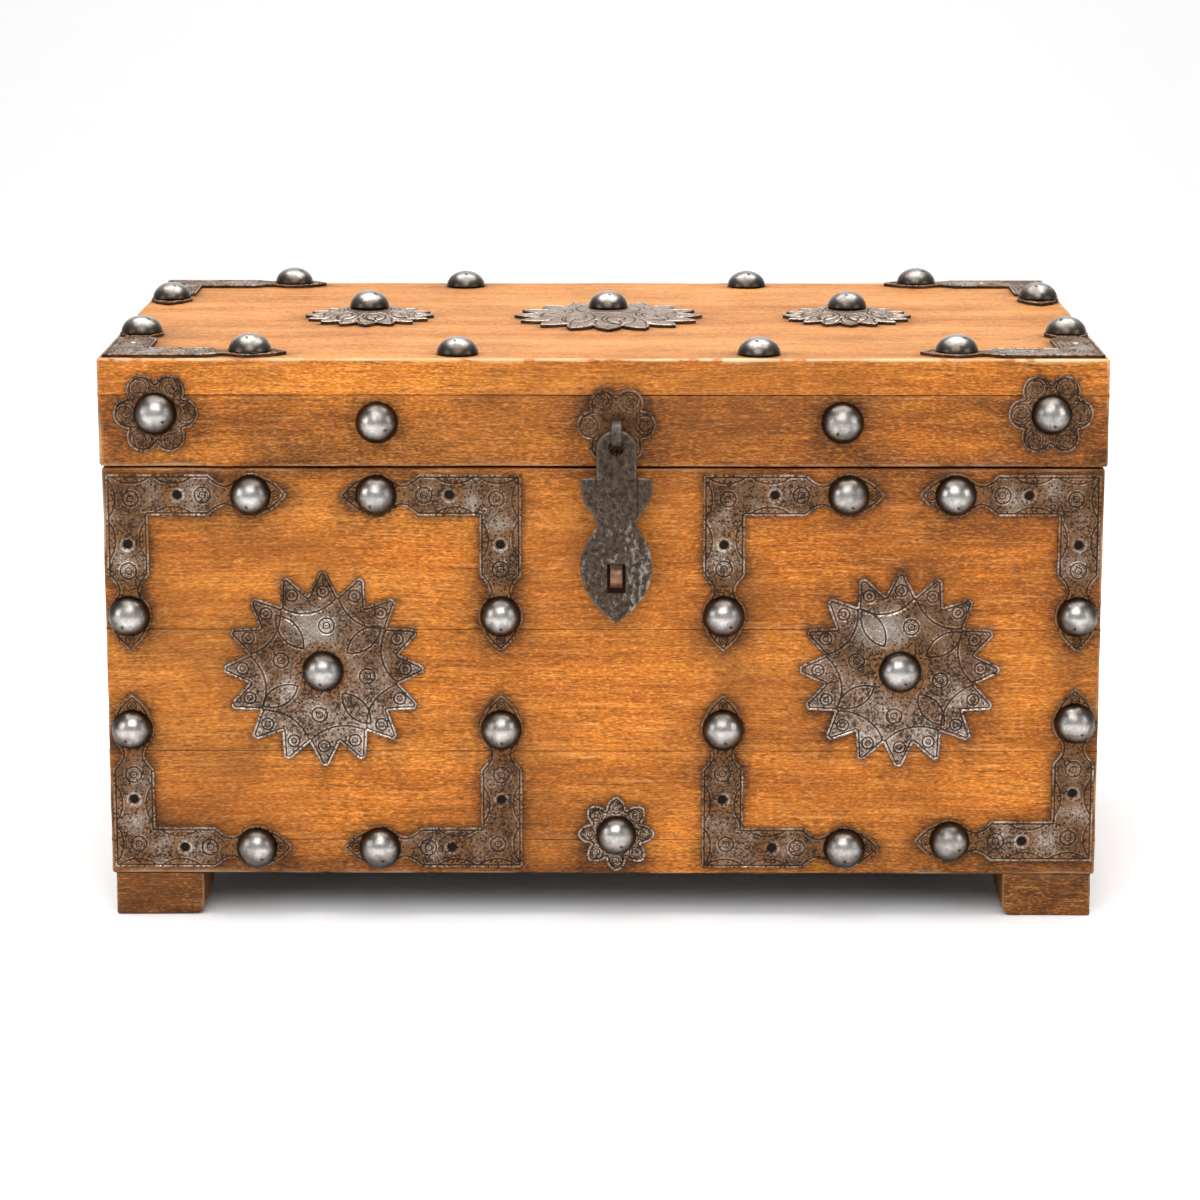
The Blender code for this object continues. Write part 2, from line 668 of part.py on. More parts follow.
# Strap hinges: the body strap holds the outer knuckles and the lid strap the middle one.
end_length = HINGE_WIDTH / 2 + PIN_HEAD_LENGTH + TURN
pin_profile = [
    (-end_length, PIN_HEAD * 0.6),
    (-end_length + PIN_HEAD_LENGTH * 0.4, PIN_HEAD),
    (-HINGE_WIDTH / 2 - TURN, PIN_HEAD),
    (-HINGE_WIDTH / 2 - TURN, PIN_RADIUS),
]
pin_profile += [(-x, radius) for x, radius in reversed(pin_profile)]
turned = bmesh.new()
skin(turned, [across(radius, x, 0, HINGE_OUT, HINGE_SIDES) for x, radius in pin_profile])
hinge_pin = smooth(mesh_of(turned, "hinge_pin", "dark_iron"))
for side, sign in (("left", -1), ("right", 1)):
    hinge_place = (sign * HINGE_X, BACK, HINGE_AXIS.z)
    hinge_strap(f"{side}_hinge_body_strap", -1, BODY_STRAP_SHARE * BODY_HEIGHT, (0, 2), hinge_place)
    hinge_strap(f"{side}_hinge_lid_strap", 1, LID_STRAP_STRAIGHT, (1,), hinge_place, lid_axis)
    place(hinge_pin, f"{side}_hinge_pin", hinge_place, ON_BACK)


def handle_path():
    """Centre line of the bail: tails through the lugs, elbows, legs and a bowed grip."""
    side = [(HANDLE_LUG_AT + HANDLE_TAIL, 0.0)]
    elbow_x = HANDLE_LUG_AT - HANDLE_TAIL
    for turn in (90, 120, 150, 180):
        a = math.radians(turn)
        side.append((elbow_x + HANDLE_ELBOW * math.cos(a), HANDLE_ELBOW * (math.sin(a) - 1)))
    leg_x = elbow_x - HANDLE_ELBOW
    for turn in (0, -30, -60, -90):
        a = math.radians(turn)
        x = leg_x - HANDLE_BEND * (1 - math.cos(a))
        side.append((x, -HANDLE_DROP + HANDLE_BEND * (1 + math.sin(a))))
    return side + [(-x, y) for x, y in reversed(side)]


def rod_mesh(name, path):
    """A round rod along a line that lies in the XY plane."""
    loops = []
    for i, point in enumerate(path):
        before = Vector(path[max(i - 1, 0)])
        after = Vector(path[min(i + 1, len(path) - 1)])
        along = (after - before).normalized()
        loop = []
        for k in range(HANDLE_SIDES):
            a = 2 * math.pi * (k + 0.5) / HANDLE_SIDES
            out = HANDLE_ROD * math.cos(a)
            loop.append((point[0] - along.y * out, point[1] + along.x * out, HANDLE_ROD * math.sin(a)))
        loops.append(loop)
    bm = bmesh.new()
    skin(bm, loops)
    return smooth(mesh_of(bm, name, "dark_iron"), 50)


# Drop handles: a plate with two lugs on each end, and a bail whose tails turn in the lugs.
plate_half = HANDLE_PLATE_WIDTH / 2
plate_tip = HANDLE_LUG_AT + HANDLE_PLATE_END
plate_shoulder = plate_tip - 0.8 * plate_half
plate_outline = [(-plate_tip, 0), (-plate_shoulder, -plate_half), (plate_shoulder, -plate_half)]
plate_outline += [(plate_tip, 0), (plate_shoulder, plate_half), (-plate_shoulder, plate_half)]
bail = rod_mesh("handle", handle_path())
for side, x, face in (("left", LEFT, ON_LEFT), ("right", RIGHT, ON_RIGHT)):
    end_middle = (x, (FRONT + BACK) / 2, HANDLE_Z)
    sheet = bmesh.new()
    prism(sheet, plate_outline, FIT, FIT + SHEET)
    lugs = bmesh.new()
    for at in (-HANDLE_LUG_AT, HANDLE_LUG_AT):
        start, end = at - HANDLE_LUG_LENGTH / 2, at + HANDLE_LUG_LENGTH / 2
        knuckle(lugs, start, end, HANDLE_LUG_RADIUS, HANDLE_ROD + TURN, HANDLE_OUT, HINGE_SIDES)
    name = f"{side}_handle_plate"
    backplate = place(mesh_of(sheet, name, "dark_iron"), name, end_middle, face)
    lug_body = hidden(mesh_of(lugs, f"{side}_handle_lugs", "dark_iron"), f"{side}_handle_lugs")
    lug_body.matrix_basis = backplate.matrix_basis
    combine(backplate, lug_body, "UNION")
    out = face @ Vector((0, 0, HANDLE_OUT))
    place(bail, f"{side}_handle", Vector(end_middle) + out, face)


def board(name, finish, low, high, parent=None, corners=None):
    """A board between two corners with eased edges, drilled for the iron that is driven into it.

    corners, if given, is its outline in X and Z about its middle instead of a rectangle.
    """
    low, high = Vector(low), Vector(high)
    middle, half = (low + high) / 2, (high - low) / 2
    if corners is None:
        corners = [(-half.x, -half.z), (half.x, -half.z), (half.x, half.z), (-half.x, half.z)]
    bm = bmesh.new()
    skin(bm, [[(x, y, z) for x, z in corners] for y in (-half.y, half.y)])
    obj = place(mesh_of(bm, name, finish), name, middle, ON_TOP, 0, parent)
    eased = obj.modifiers.new("eased_edges", "BEVEL")
    eased.width = EDGE
    eased.segments = 1
    eased.limit_method = "ANGLE"
    eased.angle_limit = math.radians(50)
    drilled = bmesh.new()
    for matrix, outline, depth in sockets:
        ends = [[matrix @ Vector((x, y, z)) for x, y in outline] for z in (WALL / 4, -depth)]
        spans = [[corner[i] for corner in ends[0] + ends[1]] for i in range(3)]
        if all(min(span) < high[i] and max(span) > low[i] for i, span in enumerate(spans)):
            skin(drilled, ends)
    if len(drilled.verts):
        cutter = hidden(mesh_of(drilled, f"{name}_holes", finish), f"{name}_holes")
        combine(obj, cutter, "DIFFERENCE")
    else:
        drilled.free()


# Bottom board and the walls on it: front and back run the full width, the ends stand between.
board("bottom_board", "honey_wood", (LEFT, FRONT, BODY_BASE), (RIGHT, BACK, FOOT_HEIGHT + BOTTOM))
front_shares = (FRONT_LOW_JOINT_SHARE, FRONT_HIGH_JOINT_SHARE)
front_joints = [FOOT_HEIGHT + share * BODY_HEIGHT for share in front_shares]
front_levels = [WALL_BASE, *front_joints, BODY_RIM]
for i, part in enumerate(("lower", "middle", "upper")):
    base = front_levels[i] + (FIT if i else 0)
    low, high = (LEFT, FRONT, base), (RIGHT, FRONT + WALL, front_levels[i + 1])
    board(f"front_board_{part}", "honey_wood", low, high)
back_levels = [WALL_BASE, FOOT_HEIGHT + BACK_JOINT_SHARE * BODY_HEIGHT, BODY_RIM]
end_levels = [WALL_BASE, FOOT_HEIGHT + END_JOINT_SHARE * BODY_HEIGHT, BODY_RIM]
for i, part in enumerate(("lower", "upper")):
    base = back_levels[i] + (FIT if i else 0)
    low, high = (LEFT, BACK - WALL, base), (RIGHT, BACK, back_levels[i + 1])
    board(f"back_board_{part}", "honey_wood", low, high)
    for side, x in (("left", LEFT), ("right", RIGHT - WALL)):
        base = end_levels[i] + (FIT if i else 0)
        low = (x, FRONT + WALL + FIT, base)
        high = (x + WALL, BACK - WALL - FIT, end_levels[i + 1])
        board(f"{side}_end_{part}", "honey_wood", low, high)

# Feet.
half_foot = FOOT_WIDTH / 2
for side, sign in (("left", -1), ("right", 1)):
    centre_x = sign * (RIGHT - FOOT_INSET - half_foot)
    for row, y in (("front", FRONT + FOOT_INSET), ("back", BACK - FOOT_INSET - FOOT_WIDTH)):
        outer, inner = sign * half_foot, -sign * half_foot
        half_up = FOOT_HEIGHT / 2
        corners = [(outer, -half_up), (outer, half_up), (inner, half_up)]
        for turn in (0, 30, 60, 90):
            a = math.radians(turn)
            x = inner + sign * FOOT_ROUND * (1 - math.cos(a))
            corners.append((x, -half_up + FOOT_ROUND * (1 - math.sin(a))))
        low = (centre_x - half_foot, y, 0)
        high = (centre_x + half_foot, y + FOOT_WIDTH, FOOT_HEIGHT)
        board(f"foot_{row}_{side}", "honey_wood", low, high, corners=corners)

# Lid: rails under two boards.
rail_top = RAIL_RIM - FIT
low, high = (LID_LEFT, LID_FRONT, LID_BASE), (LID_RIGHT, LID_FRONT + LID_RAIL, rail_top)
board("lid_front_rail", "honey_wood", low, high, lid_axis)
low, high = (LID_LEFT, BACK - LID_RAIL, LID_BASE), (LID_RIGHT, BACK, rail_top)
board("lid_back_rail", "honey_wood", low, high, lid_axis)
for side, x in (("left", LID_LEFT), ("right", LID_RIGHT - LID_RAIL)):
    low = (x, LID_FRONT + LID_RAIL + FIT, LID_BASE)
    high = (x + LID_RAIL, BACK - LID_RAIL - FIT, rail_top)
    board(f"lid_{side}_rail", "honey_wood", low, high, lid_axis)
joint = LID_FRONT + LID_JOINT_SHARE * (BACK - LID_FRONT)
low, high = (LID_LEFT, LID_FRONT, RAIL_RIM), (LID_RIGHT, joint, LID_FACE)
board("lid_top_front_board", "worn_wood", low, high, lid_axis)
low, high = (LID_LEFT, joint + FIT, RAIL_RIM), (LID_RIGHT, BACK, LID_FACE)
board("lid_top_back_board", "worn_wood", low, high, lid_axis)
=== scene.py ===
"""Looks of a wooden trunk with chased iron mounts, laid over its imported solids. Metres, +Z up."""

import json
import math

import bpy
import numpy as np
from mathutils import Matrix, Vector
from mathutils.kdtree import KDTree


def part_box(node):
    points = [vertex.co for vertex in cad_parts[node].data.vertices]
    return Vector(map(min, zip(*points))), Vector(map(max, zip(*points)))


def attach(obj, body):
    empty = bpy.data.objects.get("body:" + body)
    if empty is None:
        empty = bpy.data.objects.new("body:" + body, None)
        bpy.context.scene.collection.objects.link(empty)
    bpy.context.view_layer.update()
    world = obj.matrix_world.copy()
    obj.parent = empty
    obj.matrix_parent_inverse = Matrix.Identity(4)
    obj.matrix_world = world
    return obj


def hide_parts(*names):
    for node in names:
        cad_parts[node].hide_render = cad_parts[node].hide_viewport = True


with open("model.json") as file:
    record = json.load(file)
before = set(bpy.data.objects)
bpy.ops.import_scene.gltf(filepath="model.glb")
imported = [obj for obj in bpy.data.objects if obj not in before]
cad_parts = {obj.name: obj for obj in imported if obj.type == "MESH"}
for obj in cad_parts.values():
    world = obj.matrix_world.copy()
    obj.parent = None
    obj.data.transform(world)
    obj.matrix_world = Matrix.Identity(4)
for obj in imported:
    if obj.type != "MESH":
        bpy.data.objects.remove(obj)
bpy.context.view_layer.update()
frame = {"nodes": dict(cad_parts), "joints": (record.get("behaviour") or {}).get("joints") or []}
solids = frame["nodes"]

# Body boards. Sawn hardwood planks, edge-joined and waxed to a honey colour: three across the front,
# two on the back and on each end, all standing on a bottom board. Handling has rounded the outer
# edges; the wood is dark along its joints, and round the iron with dirt and a painted contact shadow,
# and painted shade darkens it under the lid's seam and behind the hasp.
BOARD_STEP = 0.003
SHOWN_STEP = 0.002
BOARD_EASE = 0.0018
JOINT_EASE = 0.0002
JOINT_GAP = 0.00012
PLANED_DEPTH = 0.00030
WAXED, SCUFFED = 0.58, 0.62
HONEY_TONES = ((0.40, 0.108, 0.010), (0.62, 0.178, 0.014), (0.80, 0.270, 0.032))
FADED_TONES = ((0.46, 0.168, 0.042), (0.57, 0.230, 0.064), (0.66, 0.285, 0.090))
# The dark of dirt and of painted shade on the wood.
STAIN_AND_SHADE = (0.030, 0.011, 0.003)
SMOKE = (0.17, 0.055, 0.010)
LIGHT_GRAIN = (0.95, 0.50, 0.17)
PORE = (0.11, 0.032, 0.005)
RUBBED_EDGE = (0.90, 0.64, 0.38)


def sums(way):
    """What an operator does with wires: it joins them in a Math node."""

    def join(one, two=0.0):
        return node(one.tree, "ShaderNodeMath", {0: one, 1: two}, operation=way)

    return join


class Wire:
    """An output of a node, reckoned with like a number."""

    __add__ = sums("ADD")
    __sub__ = sums("SUBTRACT")
    __mul__ = sums("MULTIPLY")
    __truediv__ = sums("DIVIDE")
    __abs__ = sums("ABSOLUTE")
    most = sums("MAXIMUM")

    def __init__(self, socket):
        self.socket, self.tree = socket, socket.id_data

    def __rsub__(self, number):
        return self * -1.0 + number

    def beside(self, label):
        """Another output of the same node."""
        return Wire(self.socket.node.outputs[label])


def set_sockets(made, sockets):
    """Gives the inputs of a node their numbers, colours and wires."""
    for label, value in sockets.items():
        socket = made.inputs[label]
        if isinstance(value, Wire):
            value.tree.links.new(value.socket, socket)
        else:
            socket.default_value = (*value, 1) if socket.type == "RGBA" else value


def node(tree, kind, sockets=None, out=0, **settings):
    """The wire from a new node."""
    made = tree.nodes.new(kind)
    for label, value in settings.items():
        setattr(made, label, value)
    set_sockets(made, sockets or {})
    return Wire(made.outputs[out])


def noise(place, scale, detail, rough):
    sockets = {"Vector": place, "Scale": scale, "Detail": detail, "Roughness": rough}
    return node(place.tree, "ShaderNodeTexNoise", sockets)


def vector_sum(way, *vectors):
    return node(vectors[0].tree, "ShaderNodeVectorMath", dict(enumerate(vectors)), operation=way)


def ramp(factor, *stops):
    """Colours or greys that follow a factor; stops are pairs of a position and a tone."""
    made = node(factor.tree, "ShaderNodeValToRGB", {0: factor})
    line = made.socket.node.color_ramp.elements
    for i, (at, tone) in enumerate(stops):
        stop = line[0] if i == 0 else line[-1] if i == len(stops) - 1 else line.new(at)
        stop.position = at
        stop.color = (*tone, 1) if isinstance(tone, tuple) else (tone, tone, tone, 1)
    return made


def mix(factor, one, two, way="MIX"):
    tree = next(wire.tree for wire in (factor, one) if isinstance(wire, Wire))
    return node(tree, "ShaderNodeMix", {0: factor, 6: one, 7: two}, 2, data_type="RGBA", blend_type=way)


def point_value(tree, label):
    return node(tree, "ShaderNodeAttribute", out="Fac", attribute_name=label)


def new_finish(name):
    made = bpy.data.materials.new(name)
    made.use_nodes = True
    return made, made.node_tree, node(made.node_tree, "ShaderNodeTexCoord", out="Object")


def coat(made, sockets):
    """Ends a finish by setting its shader."""
    set_sockets(made.node_tree.nodes["Principled BSDF"], sockets)
    return made


def wood_finish(name, grain, tones, rough):
    """Waxed wood with its grain along one axis, dark where dirty and where shade is painted, pale where
    rubbed.
    """
    made, tree, place = new_finish(name)
    bent = place
    for scale, reach in ((6.0, 0.012), (60.0, 0.0005)):
        sway = vector_sum("SUBTRACT", noise(place, scale, 2.0, 0.5).beside("Color"), (0.5, 0.5, 0.5))
        bent = vector_sum("MULTIPLY_ADD", sway, (reach, reach, reach), bent)

    def along(share):
        stretch = [1.0, 1.0, 1.0]
        stretch[grain] = share
        return node(tree, "ShaderNodeMapping", {"Vector": bent, "Scale": stretch})

    broad = noise(along(0.06), 38.0, 3.0, 0.55)
    bands = noise(along(0.07), 170.0, 3.0, 0.6)
    fine = noise(along(0.30), 1150.0, 2.0, 0.6)
    hair = noise(along(0.026), 720.0, 3.0, 0.65)
    flecks = noise(along(0.16), 1050.0, 2.0, 0.5)
    clouds = noise(place, 11.0, 5.0, 0.62)
    mottle = noise(along(0.5), 34.0, 4.0, 0.6)
    pale = point_value(tree, "pale")
    strength = 0.85 - pale * 0.40
    colour = ramp(broad, *zip((0.27, 0.46, 0.68), tones))
    colour = mix(pale, colour, ramp(broad, *zip((0.30, 0.48, 0.66), FADED_TONES)))
    colour = mix(0.28, colour, ramp(bands, (0.34, 0.66), (0.60, 1.08)), "MULTIPLY")
    colour = mix(strength, colour, ramp(fine, (0.36, 0.54), (0.62, 1.12)), "MULTIPLY")
    colour = mix(strength, colour, ramp(hair, (0.38, 0.72), (0.60, 1.10)), "MULTIPLY")
    colour = mix(ramp(hair, (0.58, 0.0), (0.68, 0.30)), colour, LIGHT_GRAIN)
    colour = mix(ramp(fine, (0.56, 0.0), (0.72, 0.40)), colour, LIGHT_GRAIN)
    colour = mix(ramp(hair, (0.28, 0.75), (0.35, 0.0)), colour, PORE)
    colour = mix(ramp(flecks, (0.34, 0.60), (0.42, 0.0)), colour, PORE)
    colour = mix(ramp(clouds, (0.32, 0.60), (0.58, 0.04)) * strength, colour, SMOKE)
    colour = mix(0.38, colour, ramp(mottle, (0.32, 0.55), (0.58, 1.10)), "MULTIPLY")
    breath = ramp(mottle + fine * 0.5, (0.56, 1.0), (0.94, 0.36))
    # Dirt and painted shade darken the wood here, following a point value.
    colour = mix(point_value(tree, "grime_and_shade") * breath, colour, STAIN_AND_SHADE)
    colour = mix(point_value(tree, "rubbed"), colour, RUBBED_EDGE)
    dull = ramp(fine, (0.3, rough + 0.10), (0.7, rough - 0.05))
    bump = {"Height": fine + hair * 0.6, "Strength": 0.45, "Distance": 0.0006}
    sockets = {"Base Color": colour, "Roughness": dull, "Normal": node(tree, "ShaderNodeBump", bump)}
    return coat(made, {**sockets, "Specular IOR Level": 0.22})


def uneven(points, pitch, seed):
    """Smooth random swells, mostly between -1 and 1; pitch is their length along each axis."""
    dice = np.random.default_rng(seed)
    total = np.zeros(len(points))
    for _ in range(10):
        way = dice.normal(size=3)
        way *= 2 * math.pi * dice.uniform(0.5, 1.6) / np.linalg.norm(way)
        total += np.sin((points / pitch) @ way + dice.uniform(0, 2 * math.pi))
    return total / 4.5


def edge_points(names, gap=0.004):
    """Points along all the edges of some solids, in a tree for finding the closest."""
    rows = []
    for mesh in (solids[name].data for name in names):
        corners = np.array([vertex.co for vertex in mesh.vertices])
        for a, b in (corners[list(edge.vertices)] for edge in mesh.edges):
            count = int(np.linalg.norm(b - a) / gap) + 2
            rows.append(a + np.linspace(0, 1, count)[:, None] * (b - a))
    rows = np.unique(np.round(np.concatenate(rows), 3), axis=0)
    tree = KDTree(len(rows))
    for i, row in enumerate(rows):
        tree.insert(row, i)
    tree.balance()
    return tree


def distance_to(tree, points):
    return np.array([tree.find(point)[2] for point in points])


def shell(name, points, faces, finish, values=None, sharp=40):
    """A mesh object with values on its points."""
    mesh = bpy.data.meshes.new(name)
    mesh.from_pydata(np.asarray(points).tolist(), [], [list(face) for face in faces])
    for label, numbers in (values or {}).items():
        mesh.attributes.new(label, "FLOAT", "POINT").data.foreach_set("value", numbers.astype(np.float32))
    mesh.shade_smooth()
    mesh.set_sharp_from_angle(angle=math.radians(sharp))
    mesh.materials.append(finish)
    obj = bpy.data.objects.new(name, mesh)
    bpy.context.scene.collection.objects.link(obj)
    return obj


def settle(obj, body, slot, *stands_for):
    """Lets a finished object ride on a body, in place of some solids."""
    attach(obj, body)
    if stands_for:
        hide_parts(*stands_for)


def board_stops(low, high, step, ease):
    near = ease * np.array([0, 0.35, 0.7])
    inner = np.linspace(low + ease, high - ease, max(2, round((high - low) / step)))
    return np.concatenate([low + near, inner, high - near[::-1]])


def quads(key):
    """Four-cornered faces between the neighbours in a grid of points."""
    return np.stack([key[:-1, :-1], key[1:, :-1], key[1:, 1:], key[:-1, 1:]], -1).reshape(-1, 4)


def board_shape(low, high, joints, seed, step=BOARD_STEP, ease=BOARD_EASE, gap=JOINT_GAP):
    """A board's points, faces and outer edges; joints are the (axis, end) sides against other boards."""
    low, high = np.array(low), np.array(high)
    for axis, end in joints:
        (low, high)[end][axis] += (-gap, gap)[end]
    lines = [board_stops(low[a], high[a], step, ease) for a in range(3)]
    count = [len(line) for line in lines]
    sides = []
    for axis in range(3):
        u, v = (axis + 1) % 3, (axis + 2) % 3
        grid = np.meshgrid(np.arange(count[u]), np.arange(count[v]), indexing="ij")
        for end in (0, count[axis] - 1):
            place = [None, None, None]
            place[axis], place[u], place[v] = np.full_like(grid[0], end), grid[0], grid[1]
            key = (place[0] * count[1] + place[1]) * count[2] + place[2]
            sides.append(quads(key) if end else quads(key)[:, ::-1])
    used, faces = np.unique(np.concatenate(sides), return_inverse=True)
    first, rest = np.divmod(used, count[1] * count[2])
    second, third = np.divmod(rest, count[2])
    points = np.stack([lines[0][first], lines[1][second], lines[2][third]], 1)
    radius = ease * (1 + 0.4 * uneven(points, 0.05, seed))
    for axis, end in joints:
        radius = np.minimum(radius, JOINT_EASE + np.abs(points[:, axis] - (low, high)[end][axis]))
    core = np.clip(points, low + radius[:, None], high - radius[:, None])
    out = points - core
    reach = np.linalg.norm(out, axis=1)
    out = out / reach[:, None]
    edge = np.clip(np.sort(np.abs(out), axis=1)[:, 1] * 2.2, 0, 1) * np.clip(radius / ease - 0.4, 0, 1)
    planed = PLANED_DEPTH * np.clip(0.5 + 0.5 * uneven(points, (0.10, 0.10, 0.035), seed + 1), 0, 1)
    points = core + out * (np.minimum(reach, radius) - planed)[:, None]
    return points, faces.reshape(-1, 4), edge


WOOD_STARTS = ("front_", "back_", "bottom_b", "foot_")
WOOD_ENDS = ("_lower", "_upper", "_rail", "_board")
iron_names = [name for name in solids if not name.startswith(WOOD_STARTS) and not name.endswith(WOOD_ENDS)]
iron_edges = edge_points(iron_names)
body_low, body_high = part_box("bottom_board")[0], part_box("front_board_upper")[1]


def grime_and_shadow_round_iron(points):
    """Darkness near the iron: a dark line close to it, dirt together with a painted contact shadow; a wide
    dirty halo; and darker wood below it.
    """
    near = distance_to(iron_edges, points)
    below = distance_to(iron_edges, points + np.array([0, 0, 0.012]))
    return 1.10 * np.exp(-near / 0.0022) + 0.17 * np.exp(-near / 0.014) + 0.45 * np.exp(-below / 0.006)


def painted_shade_behind_hasp(points):
    """Painted shade on the front under the hasp's foot, where the hasp hangs over the wood."""
    low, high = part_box("lock_staple")
    aside = (points[:, 0] - (low.x + high.x) / 2) / 0.008
    down = (points[:, 2] - (low.z + high.z) / 2) / 0.012
    return 6.0 * np.exp(-(aside**2) - down**2) * (points[:, 1] < low.y + 0.02)


def body_grime_and_shade(points, seed):
    """How dark the body's wood is made, with dirt and with painted shade."""
    corner = np.minimum(points[:, 0] - body_low.x, body_high.x - points[:, 0])
    rim = np.minimum(points[:, 2] - body_low.z, body_high.z - points[:, 2])
    clouds = np.clip(0.5 + 0.5 * uneven(points, (0.06, 0.06, 0.03), seed), 0, 1)
    # Round the iron, dirt and a painted contact shadow; darker towards the left and right ends; along the
    # top, painted shade under the lid's seam, and darker towards the bottom.
    dark = 0.95 * grime_and_shadow_round_iron(points) + 0.40 * np.exp(-corner / 0.012) + 0.72 * np.exp(-rim / 0.011)
    # Clouds of dirt break it up; the underside, in shade under the trunk, is painted black.
    dark = np.clip(dark * (0.40 + 0.75 * clouds), 0, 0.92) + 1.2 * (points[:, 2] < body_low.z + 0.0008)
    return np.maximum(dark, painted_shade_behind_hasp(points))


honey_along_x = wood_finish("honey_wood_lengthwise", 0, HONEY_TONES, WAXED)
honey_along_y = wood_finish("honey_wood_endwise", 1, HONEY_TONES, WAXED)
BEFORE, BEHIND, BELOW, ABOVE = (1, 0), (1, 1), (2, 0), (2, 1)
BODY_BOARDS = {
    "bottom_board": (ABOVE,),
    "front_board_lower": (BELOW, ABOVE),
    "front_board_middle": (BELOW, ABOVE),
    "front_board_upper": (BELOW,),
    "back_board_lower": (BELOW, ABOVE),
    "back_board_upper": (BELOW,),
    "left_end_lower": (BEFORE, BEHIND, BELOW, ABOVE),
    "left_end_upper": (BEFORE, BEHIND, BELOW),
    "right_end_lower": (BEFORE, BEHIND, BELOW, ABOVE),
    "right_end_upper": (BEFORE, BEHIND, BELOW),
}
for seed, (name, joints) in enumerate(BODY_BOARDS.items()):
    step = SHOWN_STEP if name.startswith("front_") else BOARD_STEP
    points, faces, edge = board_shape(*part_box(name), joints, 10 * seed, step)
    values = {"grime_and_shade": body_grime_and_shade(points, 10 * seed + 5)}
    values["rubbed"] = 0.35 * edge * np.clip(0.3 + uneven(points, 0.04, seed), 0, 1)
    finish = honey_along_y if "_end_" in name else honey_along_x
    settle(shell(f"{name}_planed", points, faces, finish, values), "trunk_body", "honey_wood", name)

# Feet. Blocks of the same wood under the four corners, glued and pegged, with the inner lower corner
# rounded off. They are the darkest wood of the trunk, scuffed along the floor.
FOOT_ROUND = 0.008
FOOT_TONES = ((0.105, 0.030, 0.004), (0.21, 0.064, 0.008), (0.30, 0.100, 0.016))
foot_wood = wood_finish("foot_wood", 0, FOOT_TONES, SCUFFED)
for seed, name in enumerate(("foot_front_left", "foot_front_right", "foot_back_left", "foot_back_right")):
    low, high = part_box(name)
    points, faces, edge = board_shape(low, high, (ABOVE,), 200 + seed)
    inner, way = (high.x, 1) if name.endswith("left") else (low.x, -1)
    centre = np.array([inner - way * FOOT_ROUND, low.z + FOOT_ROUND])
    offset = points[:, [0, 2]] - centre
    length = np.linalg.norm(offset, axis=1)
    past = (offset[:, 0] * way > 0) & (offset[:, 1] < 0) & (length > FOOT_ROUND)
    points[np.ix_(past, [0, 2])] = centre + offset[past] * (FOOT_ROUND / length[past])[:, None]
    scuff = 0.35 + 0.35 * uneven(points, (0.02, 0.02, 0.008), 210 + seed)
    values = {"grime_and_shade": np.clip(scuff, 0, 0.8), "rubbed": 0.25 * edge * (points[:, 2] > low.z + 0.004)}
    settle(shell(f"{name}_block", points, faces, foot_wood, values), "trunk_body", "honey_wood", name)

# Lid. A frame of four rails under two thick boards, flush with the body at the back. The top is rubbed
# paler than the front, and its front edge is worn to bare wood.
LID_EASE = 0.0021
LID_GAP = 0.00003
lid_low, lid_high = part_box("lid_front_rail")[0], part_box("lid_top_back_board")[1]


def lid_grime_and_shade(points, seed):
    # Dirt and painted shadow round the iron, darker at the corners, and painted shade along the lid's lower
    # edge at the seam.
    corner = np.minimum(points[:, 0] - lid_low.x, lid_high.x - points[:, 0])
    seam = points[:, 2] - lid_low.z
    clouds = np.clip(0.5 + 0.5 * uneven(points, (0.08, 0.06, 0.03), seed), 0, 1)
    dark = 1.05 * grime_and_shadow_round_iron(points) + 0.22 * np.exp(-corner / 0.010) + 0.45 * np.exp(-seam / 0.010)
    return np.clip(dark * (0.45 + 0.75 * clouds), 0, 0.95)


LID_BOARDS = {
    "lid_front_rail": (ABOVE,),
    "lid_back_rail": (ABOVE,),
    "lid_left_rail": (BEFORE, BEHIND, ABOVE),
    "lid_right_rail": (BEFORE, BEHIND, ABOVE),
    "lid_top_front_board": (BEHIND, BELOW),
    "lid_top_back_board": (BEFORE, BELOW),
}
for seed, (name, joints) in enumerate(LID_BOARDS.items()):
    top = "_top_" in name
    step = SHOWN_STEP if top or name == "lid_front_rail" else BOARD_STEP
    ease = LID_EASE if top else BOARD_EASE
    points, faces, edge = board_shape(*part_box(name), joints, 300 + 10 * seed, step, ease, LID_GAP)
    wear = np.clip(0.75 + 0.5 * uneven(points, 0.06, 300 + seed), 0.15, 1)
    wear *= np.where(uneven(points, 0.016, 310 + seed) > 0.55, 0.15, 1)
    rubbed = edge * wear * np.where(points[:, 2] > lid_high.z - 0.006, 0.95, 0.3)
    grime_and_shade = lid_grime_and_shade(points, 305 + 10 * seed) * (1 - rubbed)
    grime_and_shade = grime_and_shade * 0.8 if top else np.clip(grime_and_shade + 0.50, 0, 0.95)
    pale = np.clip((points[:, 2] - lid_high.z + 0.0016) / 0.0012, 0, 1)
    finish = honey_along_y if BEHIND in joints and not top else honey_along_x
    board = shell(f"{name}_planed", points, faces, finish, {"grime_and_shade": grime_and_shade, "rubbed": rubbed, "pale": pale})
    settle(board, "lid", "worn_wood" if top else "honey_wood", name)

